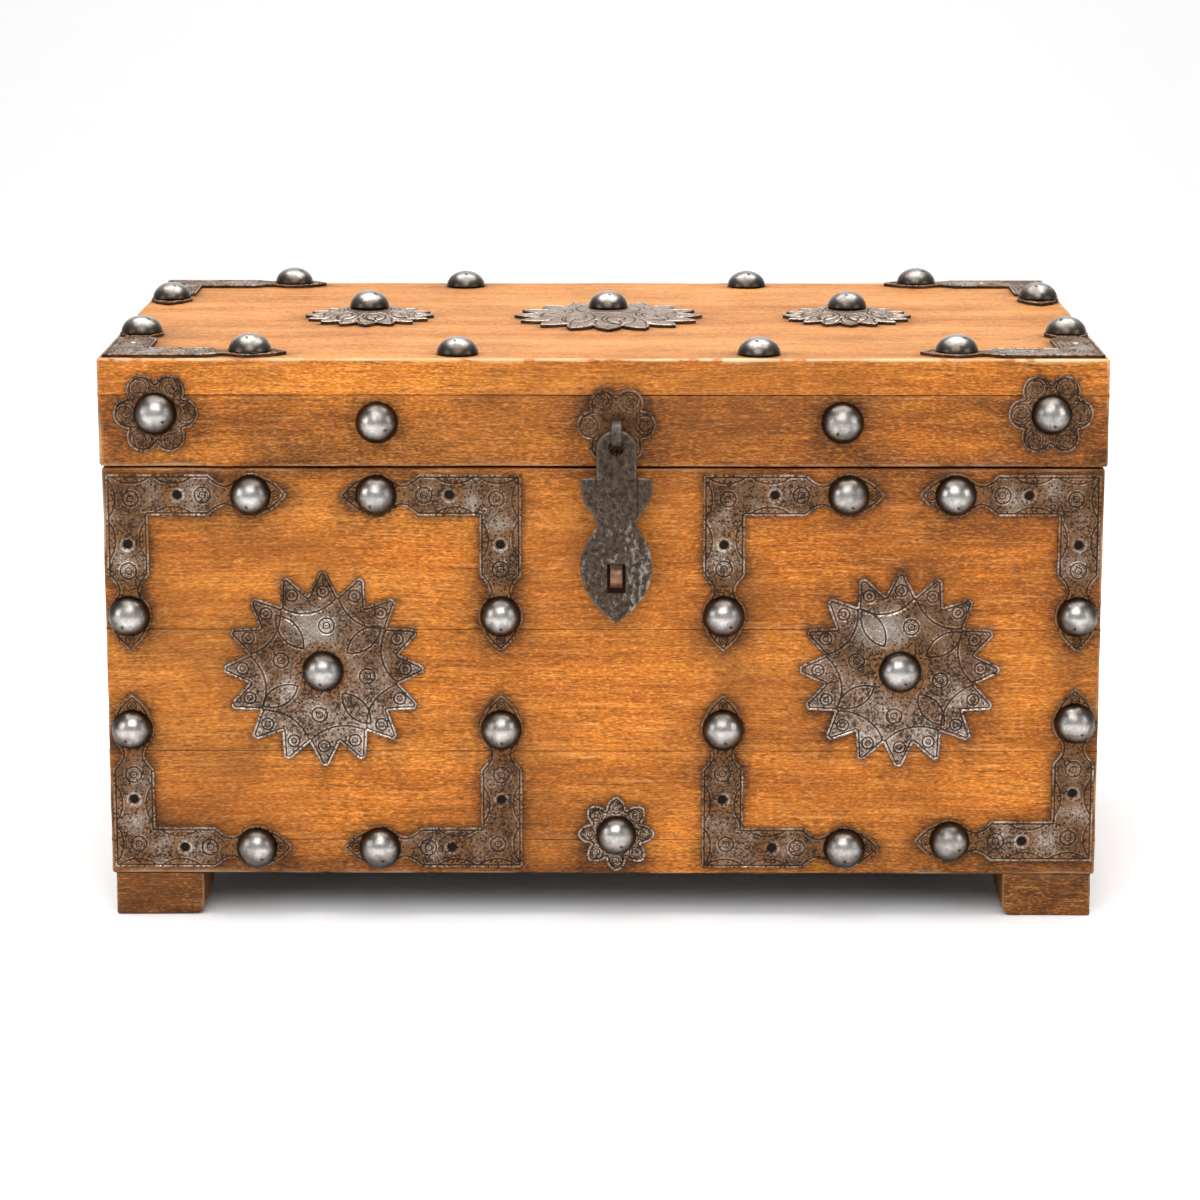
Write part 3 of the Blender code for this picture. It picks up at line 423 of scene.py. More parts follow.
# Corner brackets. Sheet-iron straps in an L, cut with a neck and a pointed leaf at each end, their rims
# raised and the field chased with arcs, ringed bosses and pricked dots. Rust sits in the recesses.
SHEET_FACE = 0.0021
STRAP = 0.0255
STRAP_STRAIGHT = 0.062
STRAP_TIP = 0.109
NECK, NECK_AT = 0.0071, 0.0715
LEAF, FLARE_AT = 0.0135, 0.0775
NAIL_AT = 0.087
NAIL_HOLE_AT, NAIL_HOLE_RADIUS, NAIL_HOLE_FIELD = 0.043, 0.0026, 0.0052
BOW, BOW_RISE = 0.0186, 0.0056
OUTER_BOWS, INNER_BOW = (0.0145, 0.0405), 0.0400
CORNER_BOSS_AT, CORNER_BOSS, CORNER_DOT_AT = 0.0150, 0.0046, 0.0222
ARM_BOSS_AT, ARM_BOSS = 0.0585, 0.0048
LEAF_BOSS_AT, LEAF_BOSS = 0.1015, 0.0026
RUBBED_SPOTS = (0.029, 0.053)
CHASE_STEP = 0.0006
CHASE_DEPTH = 0.00050
CHASE_LINE = 0.00072
RIM_AT, RIM_WIDE, RIM_RISE = 0.0006, 0.00050, 0.00014
RIM_LINE_AT, RIM_LINE = 0.0018, 0.00065
PLATE_SHARP = 55
IRON_TONES = (
    (0.28, (0.080, 0.034, 0.013)),
    (0.44, (0.160, 0.086, 0.043)),
    (0.56, (0.255, 0.190, 0.145)),
    (0.76, (0.56, 0.49, 0.43)),
)
RUST = (0.070, 0.027, 0.009)
RUST_BLOOM = (0.230, 0.095, 0.026)
# Soot in the cuts; also the painted shade of the plates' lower walls.
SOOT_AND_SHADE = (0.018, 0.010, 0.006)
# Painted shade inside the nail holes.
NAIL_HOLE_SHADE = (0.014, 0.008, 0.005)
front_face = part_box("front_board_middle")[0].y
rail_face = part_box("lid_front_rail")[0].y
top_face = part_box("lid_top_front_board")[1].z
ON_TOP = Matrix.Identity(4)
ON_FRONT = Matrix.Rotation(math.pi / 2, 4, "X")


def span(value, low, high, start, end):
    """A value carried from one range to another and kept inside it."""
    return node(value.tree, "ShaderNodeMapRange", {0: value, 1: low, 2: high, 3: start, 4: end})


def chased_finish(name):
    """Worn sheet iron, rusty brown to silvery; its cuts are sooty and rusty, with light burred edges that
    are partly a painted highlight.
    """
    made, tree, place = new_finish(name)
    polish, line = point_value(tree, "polish"), point_value(tree, "recess_and_shade")
    x = node(tree, "ShaderNodeSeparateXYZ", {0: place})
    flat = node(tree, "ShaderNodeCombineXYZ", {0: x, 1: x.beside("Y") + x.beside("Z")})
    patches = noise(place, 75.0, 3.0, 0.6)
    specks = noise(place, 820.0, 2.0, 0.55)
    scrolls = span(abs(noise(flat, 250.0, 1.0, 0.4) - 0.5), 0.018, 0.056, 1.0, 0.0)
    scrolls = scrolls * ramp(patches, (0.44, 0.9), (0.60, 0.35))
    cell = node(tree, "ShaderNodeTexVoronoi", {"Vector": flat, "Scale": 330.0}, voronoi_dimensions="2D")
    dots = span(cell, 0.18, 0.28, 1.0, 0.0) * ramp(cell.beside("Color"), (0.38, 0.0), (0.50, 1.0))
    pricked = scrolls.most(dots) * span(polish, 0.08, 0.22, 1.0, 0.35)
    burr_and_highlight = span(line, 0.06, 0.22, 0.0, 1.0) * span(line, 0.30, 0.58, 1.0, 0.0)
    cut = span(line, 0.52, 0.82, 0.0, 1.0).most(pricked)
    # Lighter with polish, which also carries painted sheen and highlights; with the rim, worn and partly a
    # painted highlight; and along the cut edges, partly a painted highlight.
    level = polish - 0.005 + point_value(tree, "rim") * 0.24 + burr_and_highlight * 0.16 + patches * 0.46 + specks * 0.47
    bloom = point_value(tree, "rust") * ramp(specks, (0.36, 1.0), (0.62, 0.5))
    colour = mix(bloom, ramp(level, *IRON_TONES), RUST_BLOOM)
    dirt = mix(ramp(patches, (0.44, 0.0), (0.60, 1.0)), SOOT_AND_SHADE, RUST)
    # Dark in the cuts, sooty and rusty, and painted shade on the plates' lower walls.
    colour = mix(cut * 0.94, colour, dirt)
    # Painted shade: the nail holes are coloured nearly black.
    colour = mix(span(line, 1.2, 1.6, 0.0, 1.0), colour, NAIL_HOLE_SHADE)
    smooth = level - cut * 0.4 - bloom * 0.3
    bump = {"Height": specks * 0.3 - pricked, "Strength": 0.6, "Distance": 0.0005}
    sockets = {"Base Color": colour, "Metallic": ramp(smooth, (0.30, 0.25), (0.60, 0.92))}
    sockets["Roughness"] = ramp(smooth, (0.25, 0.60), (0.70, 0.27))
    sockets["Normal"] = node(tree, "ShaderNodeBump", bump)
    return coat(made, {**sockets, "Specular IOR Level": 0.15})


def sink(distance, width):
    """A soft-edged cut, 1 at no distance."""
    return np.exp(-((distance / width) ** 2))


def deepest(*cuts):
    return np.maximum.reduce(cuts)


def apart(x, y, at):
    return np.hypot(x - at[0], y - at[1])


def ringed_boss(x, y, at, radius):
    away = apart(x, y, at)
    return deepest(sink(away - radius, 0.00075), sink(away - radius * 0.42, 0.00060))


def line_distance(x, y, corners):
    """Distance to a closed line through some corners."""
    least = np.full(len(x), 1.0)
    for (ax, ay), (bx, by) in zip(corners, np.roll(corners, -1, axis=0)):
        dx, dy = bx - ax, by - ay
        share = np.clip(((x - ax) * dx + (y - ay) * dy) / max(dx * dx + dy * dy, 1e-16), 0, 1)
        least = np.minimum(least, np.hypot(x - ax - share * dx, y - ay - share * dy))
    return least


def swells(x, y, third, pitch, seed):
    return uneven(np.stack([x, y, third], 1), pitch, seed)


def chase(flat, cut, height):
    """Face heights and point values of a chased plate: raised rim, line inside it, and the cuts."""
    x, y, _, outline = flat
    rim = line_distance(x, y, outline)
    cut = deepest(cut * np.clip((rim - 0.0011) / 0.0006, 0, 1), sink(rim - RIM_LINE_AT, RIM_LINE))
    cut = np.clip(cut, 0, 2)
    # The raised rim is lightened, partly as wear and partly as a painted highlight.
    ridge = sink(rim - RIM_AT, RIM_WIDE)
    top = SHEET_FACE + height + RIM_RISE * ridge - 0.00030 * sink(rim, 0.00025)
    top = top - CHASE_DEPTH * np.minimum(cut, 1)
    wear = np.clip(0.62 + 0.5 * swells(x, y, x + y, 0.02, len(x)), 0, 1)
    return top, {"recess_and_shade": cut, "rim": np.clip(ridge - cut, 0, 1) * wear}


def ring_quads(rings):
    """Faces between rings of points, which close on themselves."""
    return quads(np.c_[rings, rings[:, :1]])


def plate(name, flat, top, values, matrix, finish, base=0.0):
    """An object from a plate's face: walls and a bottom close it, and it is set on its side of the trunk."""
    x, y, faces, _ = flat
    steps = {(a, b) for face in faces for a, b in zip(face, (*face[1:], face[0]))}
    after = {a: b for a, b in steps if (b, a) not in steps}
    loop = [min(after)]
    while after[loop[-1]] != loop[0]:
        loop.append(after[loop[-1]])
    count, around = len(x), len(loop)
    brow = np.stack([x[loop], y[loop], top[loop] - 0.0003], 1)
    foot = np.stack([x[loop], y[loop], np.full(around, base)], 1)
    points = np.concatenate([np.stack([x, y, top], 1), brow, foot])
    rings = np.array([loop, count + np.arange(around), count + around + np.arange(around)])
    walls = ring_quads(rings)[:, [3, 0, 1, 2]].tolist()
    turn = np.array(matrix.to_3x3())
    edge = np.roll(foot, -1, axis=0) - np.roll(foot, 1, axis=0)
    facing = np.stack([edge[:, 1], -edge[:, 0], 0 * edge[:, 0]], 1) @ turn.T
    # Painted light on the walls: those facing up get a painted highlight, the others painted shade.
    up = facing[:, 2] > 0.35 * np.linalg.norm(facing, axis=1)
    wall_highlight_and_shade = {"recess_and_shade": np.where(up, 0.05, 0.95), "rim": np.where(up, 0.8, 0.0)}
    for label in values:
        wall = wall_highlight_and_shade.get(label, np.zeros(around))
        values[label] = np.concatenate([values[label], wall, wall])
    points = points @ turn.T + np.array(matrix.translation)
    return shell(name, points, [*faces, *walls, rings[2][::-1].tolist()], finish, values, PLATE_SHARP)


def quarter(along, start, end):
    """Angles from none to a right angle over a stretch."""
    return np.clip((along - start) / (end - start), 0, 1) * math.pi / 2


def strap_half(along, straight, half, reach):
    """Half width of a strap along its length: straight, scooped to a neck, and a pointed leaf."""
    neck_at, flare_at, leaf_at, tip = (reach + at for at in (NECK_AT, FLARE_AT, NAIL_AT, STRAP_TIP))
    swell = math.sqrt(LEAF**2 - (leaf_at - flare_at) ** 2)
    shoulder_at, shoulder = leaf_at + LEAF * 0.616, LEAF * 0.788
    scoop = half - (half - NECK) * np.sin(quarter(along, straight, neck_at))
    flare = swell - (swell - NECK) * np.cos(quarter(along, neck_at, flare_at))
    round_part = np.sqrt(np.maximum(LEAF**2 - (along - leaf_at) ** 2, 0))
    point = shoulder * (1 - np.clip((along - shoulder_at) / (tip - shoulder_at), 0, 1) ** 1.6)
    bounds = [along < straight, along < neck_at, along < flare_at, along < shoulder_at]
    return np.select(bounds, [half, scoop, flare, round_part], point)


def grid_faces(rows, columns, turned):
    faces = quads(np.arange(rows * columns).reshape(rows, columns))
    return faces[:, ::-1] if turned else faces


def weld(x, y, faces):
    """Merges points in the same place, and drops the faces that vanish."""
    keys = np.round(np.stack([x, y], 1) / 2e-6).astype(np.int64)
    _, first, place = np.unique(keys, axis=0, return_index=True, return_inverse=True)
    kept = [list(dict.fromkeys(face)) for face in place.reshape(-1)[faces].tolist()]
    return x[first], y[first], [face for face in kept if len(face) > 2]


def bracket_face():
    """Points and faces over the two arms of a bracket, which meet on the mitre, and its outline."""
    middle = STRAP / 2
    close = np.array([0.88, 0.92, 0.955, 0.98, 1])
    across = np.concatenate([-close[::-1], np.linspace(-0.84, 0.84, 37), close])
    columns = len(across)
    mitre = np.linspace(0, 1, 37)[:-1, None]
    side = middle + across * middle
    along = np.linspace(STRAP, STRAP_TIP - 0.0001, round((STRAP_TIP - STRAP) / CHASE_STEP))
    half = strap_half(along, STRAP_STRAIGHT, middle, 0)
    x = np.concatenate([side + (STRAP - side) * mitre, np.repeat(along[:, None], columns, 1)])
    y = np.concatenate([np.repeat(side[None], 36, 0), middle + half[:, None] * across])
    rows = len(x)
    first, second = (grid_faces(rows, columns, turned) for turned in (False, True))
    faces = np.concatenate([first, second + rows * columns])
    end = np.stack([along, half], 1)[::4]
    arm = [(STRAP_STRAIGHT, middle)] + [(t, h) for t, h in end if t > STRAP_STRAIGHT] + [(STRAP_TIP, 0)]
    out = [(t, middle - h) for t, h in arm] + [(t, middle + h) for t, h in reversed(arm[:-1])]
    outline = [(0, 0)] + out + [(STRAP, STRAP)] + [(v, u) for u, v in reversed(out)]
    flat_x, flat_y = np.concatenate([x.ravel(), y.ravel()]), np.concatenate([y.ravel(), x.ravel()])
    return (*weld(flat_x, flat_y, faces), outline)


def bracket_cuts(x, y, seed):
    """What is chased on a bracket: the same along both arms, pricked differently on each."""
    dice = np.random.default_rng(seed)
    middle = STRAP / 2
    cut = ringed_boss(x, y, (CORNER_BOSS_AT, CORNER_BOSS_AT), CORNER_BOSS)
    cut = deepest(cut, sink(apart(x, y, (CORNER_DOT_AT, CORNER_DOT_AT)), 0.0011))
    lift, rust = np.zeros(len(x)), np.zeros(len(x))
    polish = 0.05 * swells(x, y, 0 * x, 0.03, seed + 2) - 0.09
    for t, c in ((x, y - middle), (y, x - middle)):
        own = (t > c + middle).astype(float)
        for chord in OUTER_BOWS:
            wobble = dice.uniform(-0.001, 0.001)
            ring = np.hypot(t - chord - wobble, c + middle + BOW - BOW_RISE)
            fan = (ring < BOW) * (np.abs((t - chord) % 0.0032 - 0.0016) < 0.0005) * (c > 0.0034 - middle)
            cut = deepest(cut, own * sink(ring - BOW, CHASE_LINE), own * 0.8 * fan)
            rust = deepest(rust, own * 0.55 * (ring < BOW))
        inner = np.hypot(t - INNER_BOW, c - middle - BOW + BOW_RISE)
        fan = (inner < BOW) * (np.abs((t - INNER_BOW) % 0.0034 - 0.0017) < 0.0005) * (c < middle - 0.0036)
        cut = deepest(cut, own * sink(inner - BOW, CHASE_LINE), own * 0.8 * fan)
        boss = own * ringed_boss(t, c, (ARM_BOSS_AT + dice.uniform(-0.001, 0.001), 0), ARM_BOSS)
        cut = deepest(cut, boss, own * ringed_boss(t, c, (LEAF_BOSS_AT, 0), LEAF_BOSS))
        hole = np.hypot(t - NAIL_HOLE_AT, c)
        cut = np.where(hole < NAIL_HOLE_FIELD, np.where(hole < NAIL_HOLE_RADIUS, 2.0, 0.0), cut)
        polish += own * 0.20 * sink(hole - 0.0040, 0.0008)
        lift -= own * 0.0011 * np.clip((0.0031 - hole) / 0.0006, 0, 1)
        lift += own * 0.00025 * sink(hole - 0.0038, 0.0005)
        stain = 0.85 * np.clip((0.0185 - np.hypot((t - NAIL_AT) / 1.25, c)) / 0.006, 0, 1)
        rust = deepest(rust, own * stain, own * 0.5 * (inner < BOW), own * 0.6 * sink(t - 0.0375, 0.003))
        for at in RUBBED_SPOTS:
            polish += own * dice.uniform(0.04, 0.20) * sink(np.hypot(t - at, 0.6 * c), 0.008)
    return cut, lift, rust, polish


chased_iron = chased_finish("chased_iron_sheet")
bracket_flat = bracket_face()
CORNER_TURNS = {"top_left": -90, "top_right": 180, "bottom_left": 0, "bottom_right": 90}
nail_seats = {"trunk_body": [], "lid": [], "lid_top": []}


def seat_nail(place, side, body):
    """Notes where a dome nail goes, for the section that makes them."""
    nail_seats["lid_top" if side == ON_TOP else body].append((place, side))


def bracket(name, corner, point, side, body, seed):
    matrix = Matrix.Translation(point) @ side @ Matrix.Rotation(math.radians(CORNER_TURNS[corner]), 4, "Z")
    cut, lift, rust, polish = bracket_cuts(*bracket_flat[:2], seed)
    top, values = chase(bracket_flat, cut, lift)
    # Plates on the lid's top get more polish, partly a painted highlight from the overhead light.
    values.update(polish=polish + (0.10 if side == ON_TOP else 0), rust=rust)
    made = plate(f"{name}_chased", bracket_flat, top, values, matrix, chased_iron)
    settle(made, body, "chased_iron", name)
    for x, y in ((NAIL_AT, STRAP / 2), (STRAP / 2, NAIL_AT)):
        seat_nail(matrix @ Vector((x, y, SHEET_FACE - 0.0002)), side, body)


for i, corner in enumerate(CORNER_TURNS):
    row, edge_side = corner.split("_")
    for k, square in enumerate(("left", "right")):
        name = f"{square}_star_bracket_{corner}"
        low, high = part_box(name)
        place = (low.x if edge_side == "left" else high.x, front_face, low.z if row == "bottom" else high.z)
        bracket(name, corner, place, ON_FRONT, "trunk_body", 40 + 4 * i + k)
    name = f"lid_bracket_{'back' if row == 'top' else 'front'}_{edge_side}"
    low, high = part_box(name)
    place = (low.x if edge_side == "left" else high.x, low.y if row == "bottom" else high.y, top_face)
    bracket(name, corner, place, ON_TOP, "lid", 42 + 4 * i)

# Star plates. Round iron sheets with sixteen blunt points, dished up towards the nail at the hub. Each
# point has a ringed boss; arcs run from valley to valley, with four leaves and four bosses round the hub.
STAR_RADIUS = 0.0606
STAR_VALLEY = 0.0465
STAR_POINTS = 16
STAR_RISE = 0.0050
STAR_LINE = 0.00080
TIP_BOSS_AT, TIP_BOSS, TIP_DOT_AT = 0.0485, 0.0036, 0.0552
ARC_AT, ARC_RADIUS, ARC_START = 0.0622, 0.0262, -78.75
LEAF_OUT, LEAF_ASIDE, LEAF_BOW = 0.031, 0.0115, 0.0172
HUB_BOSS_AT, HUB_BOSS = 0.0262, 0.0046
STAR_TIP = ((-2.6, 0.978), (-1.7, 0.997), (0, 1.0), (1.7, 0.997), (2.6, 0.978))
ROUND_STEP = 0.00090


def polar(turn, radius):
    return radius * math.cos(turn), radius * math.sin(turn)


def stepped(corners, step):
    """A line through some corners with points added, so that none are more than a step apart."""
    corners, rows = np.asarray(corners), []
    for a, b in zip(corners, corners[1:]):
        count = max(1, math.ceil(math.hypot(*(b - a)) / step))
        rows.append(a + np.linspace(0, 1, count, endpoint=False)[:, None] * (b - a))
    return np.concatenate([*rows, corners[-1:]])


def round_face(outline, rings):
    """Points and faces of a plate drawn as rings between a hub and an outline."""
    rim = stepped([*outline, outline[0]], ROUND_STEP)[:-1]
    size = np.max(np.hypot(rim[:, 0], rim[:, 1]))
    brim = 1 - np.array([0.0020, 0.0014, 0.0009, 0.0005, 0]) / size
    share = np.concatenate([np.linspace(0.10, 1 - 0.0026 / size, rings), brim])
    x, y = np.outer(share, rim[:, 0]).ravel(), np.outer(share, rim[:, 1]).ravel()
    faces = ring_quads(np.arange(len(x)).reshape(len(share), -1)).tolist()
    return x, y, [*faces, list(range(len(rim)))], outline


def dish(x, y, rise, reach):
    return rise * np.clip(1 - (np.hypot(x, y) / reach) ** 2, 0, 1) ** 0.8


def hub_plate(name, flat, cut, height, polish, rust, matrix, body, seat=None):
    """Chases a round plate, sets it on its side of the trunk and notes the nail at its hub."""
    top, values = chase(flat, cut, height)
    values.update(polish=polish + flat[0] * 0, rust=rust + flat[0] * 0)
    settle(plate(f"{name}_chased", flat, top, values, matrix, chased_iron), body, "chased_iron", name)
    if seat is not None:
        seat_nail(matrix @ Vector((0, 0, SHEET_FACE + seat)), matrix.to_3x3().to_4x4(), body)


def star_outline():
    outline = []
    half = math.pi / STAR_POINTS
    for k in range(STAR_POINTS):
        turn = 2 * half * k
        outline += [polar(turn + math.radians(offset), STAR_RADIUS * share) for offset, share in STAR_TIP]
        outline.append(polar(turn + half, STAR_VALLEY))
    return outline


def star_cuts(x, y, seed):
    dice = np.random.default_rng(seed)
    cut = 0 * x
    for k in range(STAR_POINTS):
        turn = 2 * math.pi * k / STAR_POINTS
        boss = polar(turn + dice.uniform(-0.015, 0.015), TIP_BOSS_AT + dice.uniform(-0.001, 0.001))
        cut = np.where(apart(x, y, boss) < 0.0040, 0.25 * cut, cut)
        dot = sink(apart(x, y, polar(turn, TIP_DOT_AT)), 0.0007)
        cut = deepest(cut, ringed_boss(x, y, boss, TIP_BOSS), dot)
    for k in range(8):
        arc = apart(x, y, polar(math.radians(ARC_START + 45 * k), ARC_AT)) - ARC_RADIUS
        cut = deepest(cut, sink(arc, STAR_LINE) * (np.hypot(x, y) < STAR_VALLEY))
    for k in range(4):
        turn = math.radians(36 + 90 * k + dice.uniform(-5, 5))
        u = x * math.cos(turn) + y * math.sin(turn)
        v = np.abs(y * math.cos(turn) - x * math.sin(turn))
        leaf = np.hypot(u - LEAF_OUT, v + LEAF_ASIDE) - LEAF_BOW
        cut = deepest(cut, sink(leaf, STAR_LINE))
        boss = polar(turn - math.pi / 4, HUB_BOSS_AT + dice.uniform(-0.002, 0.002))
        cut = np.where(apart(x, y, boss) < 0.005, 0.2 * cut, cut)
        cut = deepest(cut, ringed_boss(x, y, boss, HUB_BOSS))
    return np.clip(cut, 0, 1)


flat = round_face(star_outline(), 84)
x, y = flat[:2]
for seed, side in enumerate(("left", "right")):
    name = f"star_plate_{side}"
    middle = sum(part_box(name), Vector()) / 2
    matrix = Matrix.Translation((middle.x, front_face, middle.z)) @ ON_FRONT
    height = dish(x, y, STAR_RISE, STAR_VALLEY - 0.002)
    # Polish is lighter towards the bottom and in random swells, with a painted sheen on the upper middle.
    painted_sheen_distance = np.hypot(x + 0.004 + 0.010 * seed, (y - 0.027) * 1.4)
    polish = np.clip(-y / 0.4 - 0.005, -0.07, 0.09) + 0.05 * swells(x, y, x, 0.035, 505 + seed)
    polish = polish + 0.31 * sink(painted_sheen_distance, 0.018)
    rust = 0.95 * np.clip((0.0200 - np.hypot(x, y)) / 0.0060, 0, 1)
    hub_plate(name, flat, star_cuts(x, y, 500 + seed), height, polish, rust, matrix, "trunk_body", STAR_RISE)

# Medallions. Three leaf-edged iron roundels along the middle of the lid, slightly dished, chased with a
# scroll in every second leaf and a ring of bosses, and held by the nail at their hub.
MEDALLION_LEAVES = 16
MEDALLION_RISE = 0.0048
MEDALLION_STEP = 0.00085
LEAF_EDGE = ((0, 1.0), (0.12, 0.975), (0.32, 0.940), (0.56, 0.890), (0.80, 0.825), (1, 0.755))


def leaf_outline(edge, radius, count):
    """An edge of pointed leaves; edge runs from a tip to a valley and is mirrored back."""
    edge = [*edge, *((round(2 - turn, 2), share) for turn, share in reversed(edge[1:-1]))]
    half = math.pi / count
    return [polar(half * (2 * k + turn), radius * share) for k in range(count) for turn, share in edge]


def scroll(x, y, centre, at, start, growth, end, width):
    """A line that curls out from a centre."""
    away = apart(x, y, centre)
    curl = (np.arctan2(y - centre[1], x - centre[0]) - at) % (2 * math.pi)
    return sink(away - (start + growth * curl), width) * (away < end)


def medallion_cuts(x, y, radius):
    out, turn = np.hypot(x, y), np.arctan2(y, x)
    cut = sink(out - radius * 0.34, 0.0010)
    for k in range(MEDALLION_LEAVES // 2):
        at = 4 * math.pi * (k + 0.25) / MEDALLION_LEAVES
        centre = polar(at, radius * 0.56)
        away = apart(x, y, centre)
        cut = np.where(away < radius * 0.17, 0.2 * cut, cut)
        curl = scroll(x, y, centre, at, radius * 0.04, radius * 0.019, radius * 0.16, 0.0010)
        cut = deepest(cut, curl, sink(away - radius * 0.175, 0.0009))
    leaf = turn * MEDALLION_LEAVES / (2 * math.pi)
    arc = out * 2 * math.pi / MEDALLION_LEAVES
    gap = sink(np.abs(leaf % 1 - 0.5) * arc, 0.0011) * (out > radius * 0.60) * (out < radius * 0.82)
    vein = sink(np.abs((leaf + 0.5) % 1 - 0.5) * arc, 0.0008) * (out > radius * 0.78) * (out < radius * 0.93)
    return deepest(cut, gap, 0.9 * vein)


for name in ("medallion_left", "medallion_centre", "medallion_right"):
    low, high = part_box(name)
    middle, radius = (low + high) / 2, (high.x - low.x) / 2
    flat = round_face(leaf_outline(LEAF_EDGE, radius, MEDALLION_LEAVES), round(radius / MEDALLION_STEP))
    cut = medallion_cuts(*flat[:2], radius)
    height = dish(*flat[:2], MEDALLION_RISE, radius * 0.76)
    matrix = Matrix.Translation((middle.x, middle.y, top_face))
    rust = 0.80 * np.clip((0.0175 - np.hypot(*flat[:2])) / 0.004, 0.45, 1)
    # A high polish on the medallions, partly a painted highlight from the overhead light.
    hub_plate(name, flat, cut, height, 0.215, rust, matrix, "lid", MEDALLION_RISE)

# Rosettes. Small iron flowers: six round petals with a scroll in each at the ends of the lid's front and
# behind the hasp's staple, and eight pointed petals below the hasp.
ROSETTE_RISE = 0.0010
ROSETTE_RINGS = 34
PETAL_STEPS = 18
POINTED_EDGE = ((0, 1.0), (0.14, 0.985), (0.35, 0.945), (0.62, 0.87), (0.86, 0.77), (1, 0.70))


def petal_outline(radius, count):
    petal = radius * 0.375
    hub, outline = radius - petal, []
    for k in range(count * PETAL_STEPS):
        turn = 2 * math.pi * k / (count * PETAL_STEPS)
        off = (turn + math.pi / count) % (2 * math.pi / count) - math.pi / count
        outline.append(polar(turn, hub * math.cos(off) + math.sqrt(petal**2 - (hub * math.sin(off)) ** 2)))
    return outline


def petal_cuts(x, y, radius, count, boss):
    cut = 0 * x
    for k in range(count):
        at = 2 * math.pi * k / count
        centre = polar(at, radius * 0.70)
        away = apart(x, y, centre)
        cut = np.where(away < boss * 1.2, 0.3 * cut, cut)
        curl = scroll(x, y, centre, at, boss * 0.35, boss * 0.10, boss * 1.15, 0.00055)
        dot = sink(apart(x, y, polar(at + math.pi / count, radius * 0.62)), 0.0008)
        cut = deepest(cut, curl, sink(away - boss * 1.22, 0.00050), dot)
    return np.clip(cut, 0, 1)


for name in ("lid_rosette_left", "lid_rosette_right", "hasp_rosette", "bottom_rosette"):
    low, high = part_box(name)
    middle, radius = (low + high) / 2, (high.x - low.x) / 2
    pointed, behind = name == "bottom_rosette", name == "hasp_rosette"
    petals = 8 if pointed else 6
    outline = leaf_outline(POINTED_EDGE, radius, petals) if pointed else petal_outline(radius, petals)
    flat = round_face(outline, ROSETTE_RINGS)
    cut = petal_cuts(*flat[:2], radius, petals, radius * (0.13 if pointed else 0.20))
    matrix = Matrix.Translation((middle.x, front_face if pointed else rail_face, middle.z)) @ ON_FRONT
    height = 0 if behind else dish(*flat[:2], ROSETTE_RISE, radius * 0.68)
    body = "trunk_body" if pointed else "lid"
    polish = 0.04 if pointed else -0.14 if behind else -0.10
    hub_plate(name, flat, cut, height, polish, 0.15, matrix, body, None if behind else ROSETTE_RISE)

# Dome nails. Burnished steel heads an inch across, driven through the hubs and leaves of the plates, with
# two more on the lid's front and four on its top. Each has a small pit from the hammer below its middle.
# Head tones from crown to skirt: a light crown, a painted highlight, going dark towards the skirt, painted
# shade.
NAIL_LIT_AND_SHADED_TONES = (
    (0.0, (0.56, 0.535, 0.51)),
    (0.12, (0.355, 0.33, 0.308)),
    (0.30, (0.152, 0.134, 0.119)),
    (0.52, (0.072, 0.058, 0.048)),
    (0.78, (0.022, 0.016, 0.012)),
    (1.0, (0.012, 0.008, 0.005)),
)
NAIL_SPECKS = (0.10, 0.075, 0.06)
PIT_AT, PIT_REACH = (0.10, -0.52, 0.85), 0.13
LEAST_HEAD, GREATEST_HEAD = (0.98, 0.98, 0.96), (1.05, 1.05, 1.0)
NAIL_SIZES = (
    ("Geometry", "Geometry", None),
    ("Head radius", "Float", 0.0124),
    ("Head height", "Float", 0.0108),
    ("Pit depth", "Float", 0.0004),
    ("Dark skirt", "Float", 1.0),
    ("Sides", "Int", 48),
    ("Seed", "Int", 1),
    ("Finish", "Material", None),
)


def nail_finish():
    made, tree, place = new_finish("burnished_nail_steel")
    smudges = noise(place, 130.0, 4.0, 0.6)
    specks = noise(place, 700.0, 2.0, 0.5)
    # Painted highlight and shade: the colour follows the low value, light at the crown and dark at the
    # skirt.
    colour = ramp(point_value(tree, "low") + (smudges - 0.5) * 0.7, *NAIL_LIT_AND_SHADED_TONES)
    colour = mix(ramp(specks, (0.66, 0.0), (0.74, 0.6)), colour, NAIL_SPECKS)
    dull = ramp(smudges, (0.35, 0.25), (0.70, 0.40))
    return coat(made, {"Base Color": colour, "Roughness": dull, "Metallic": 1.0})


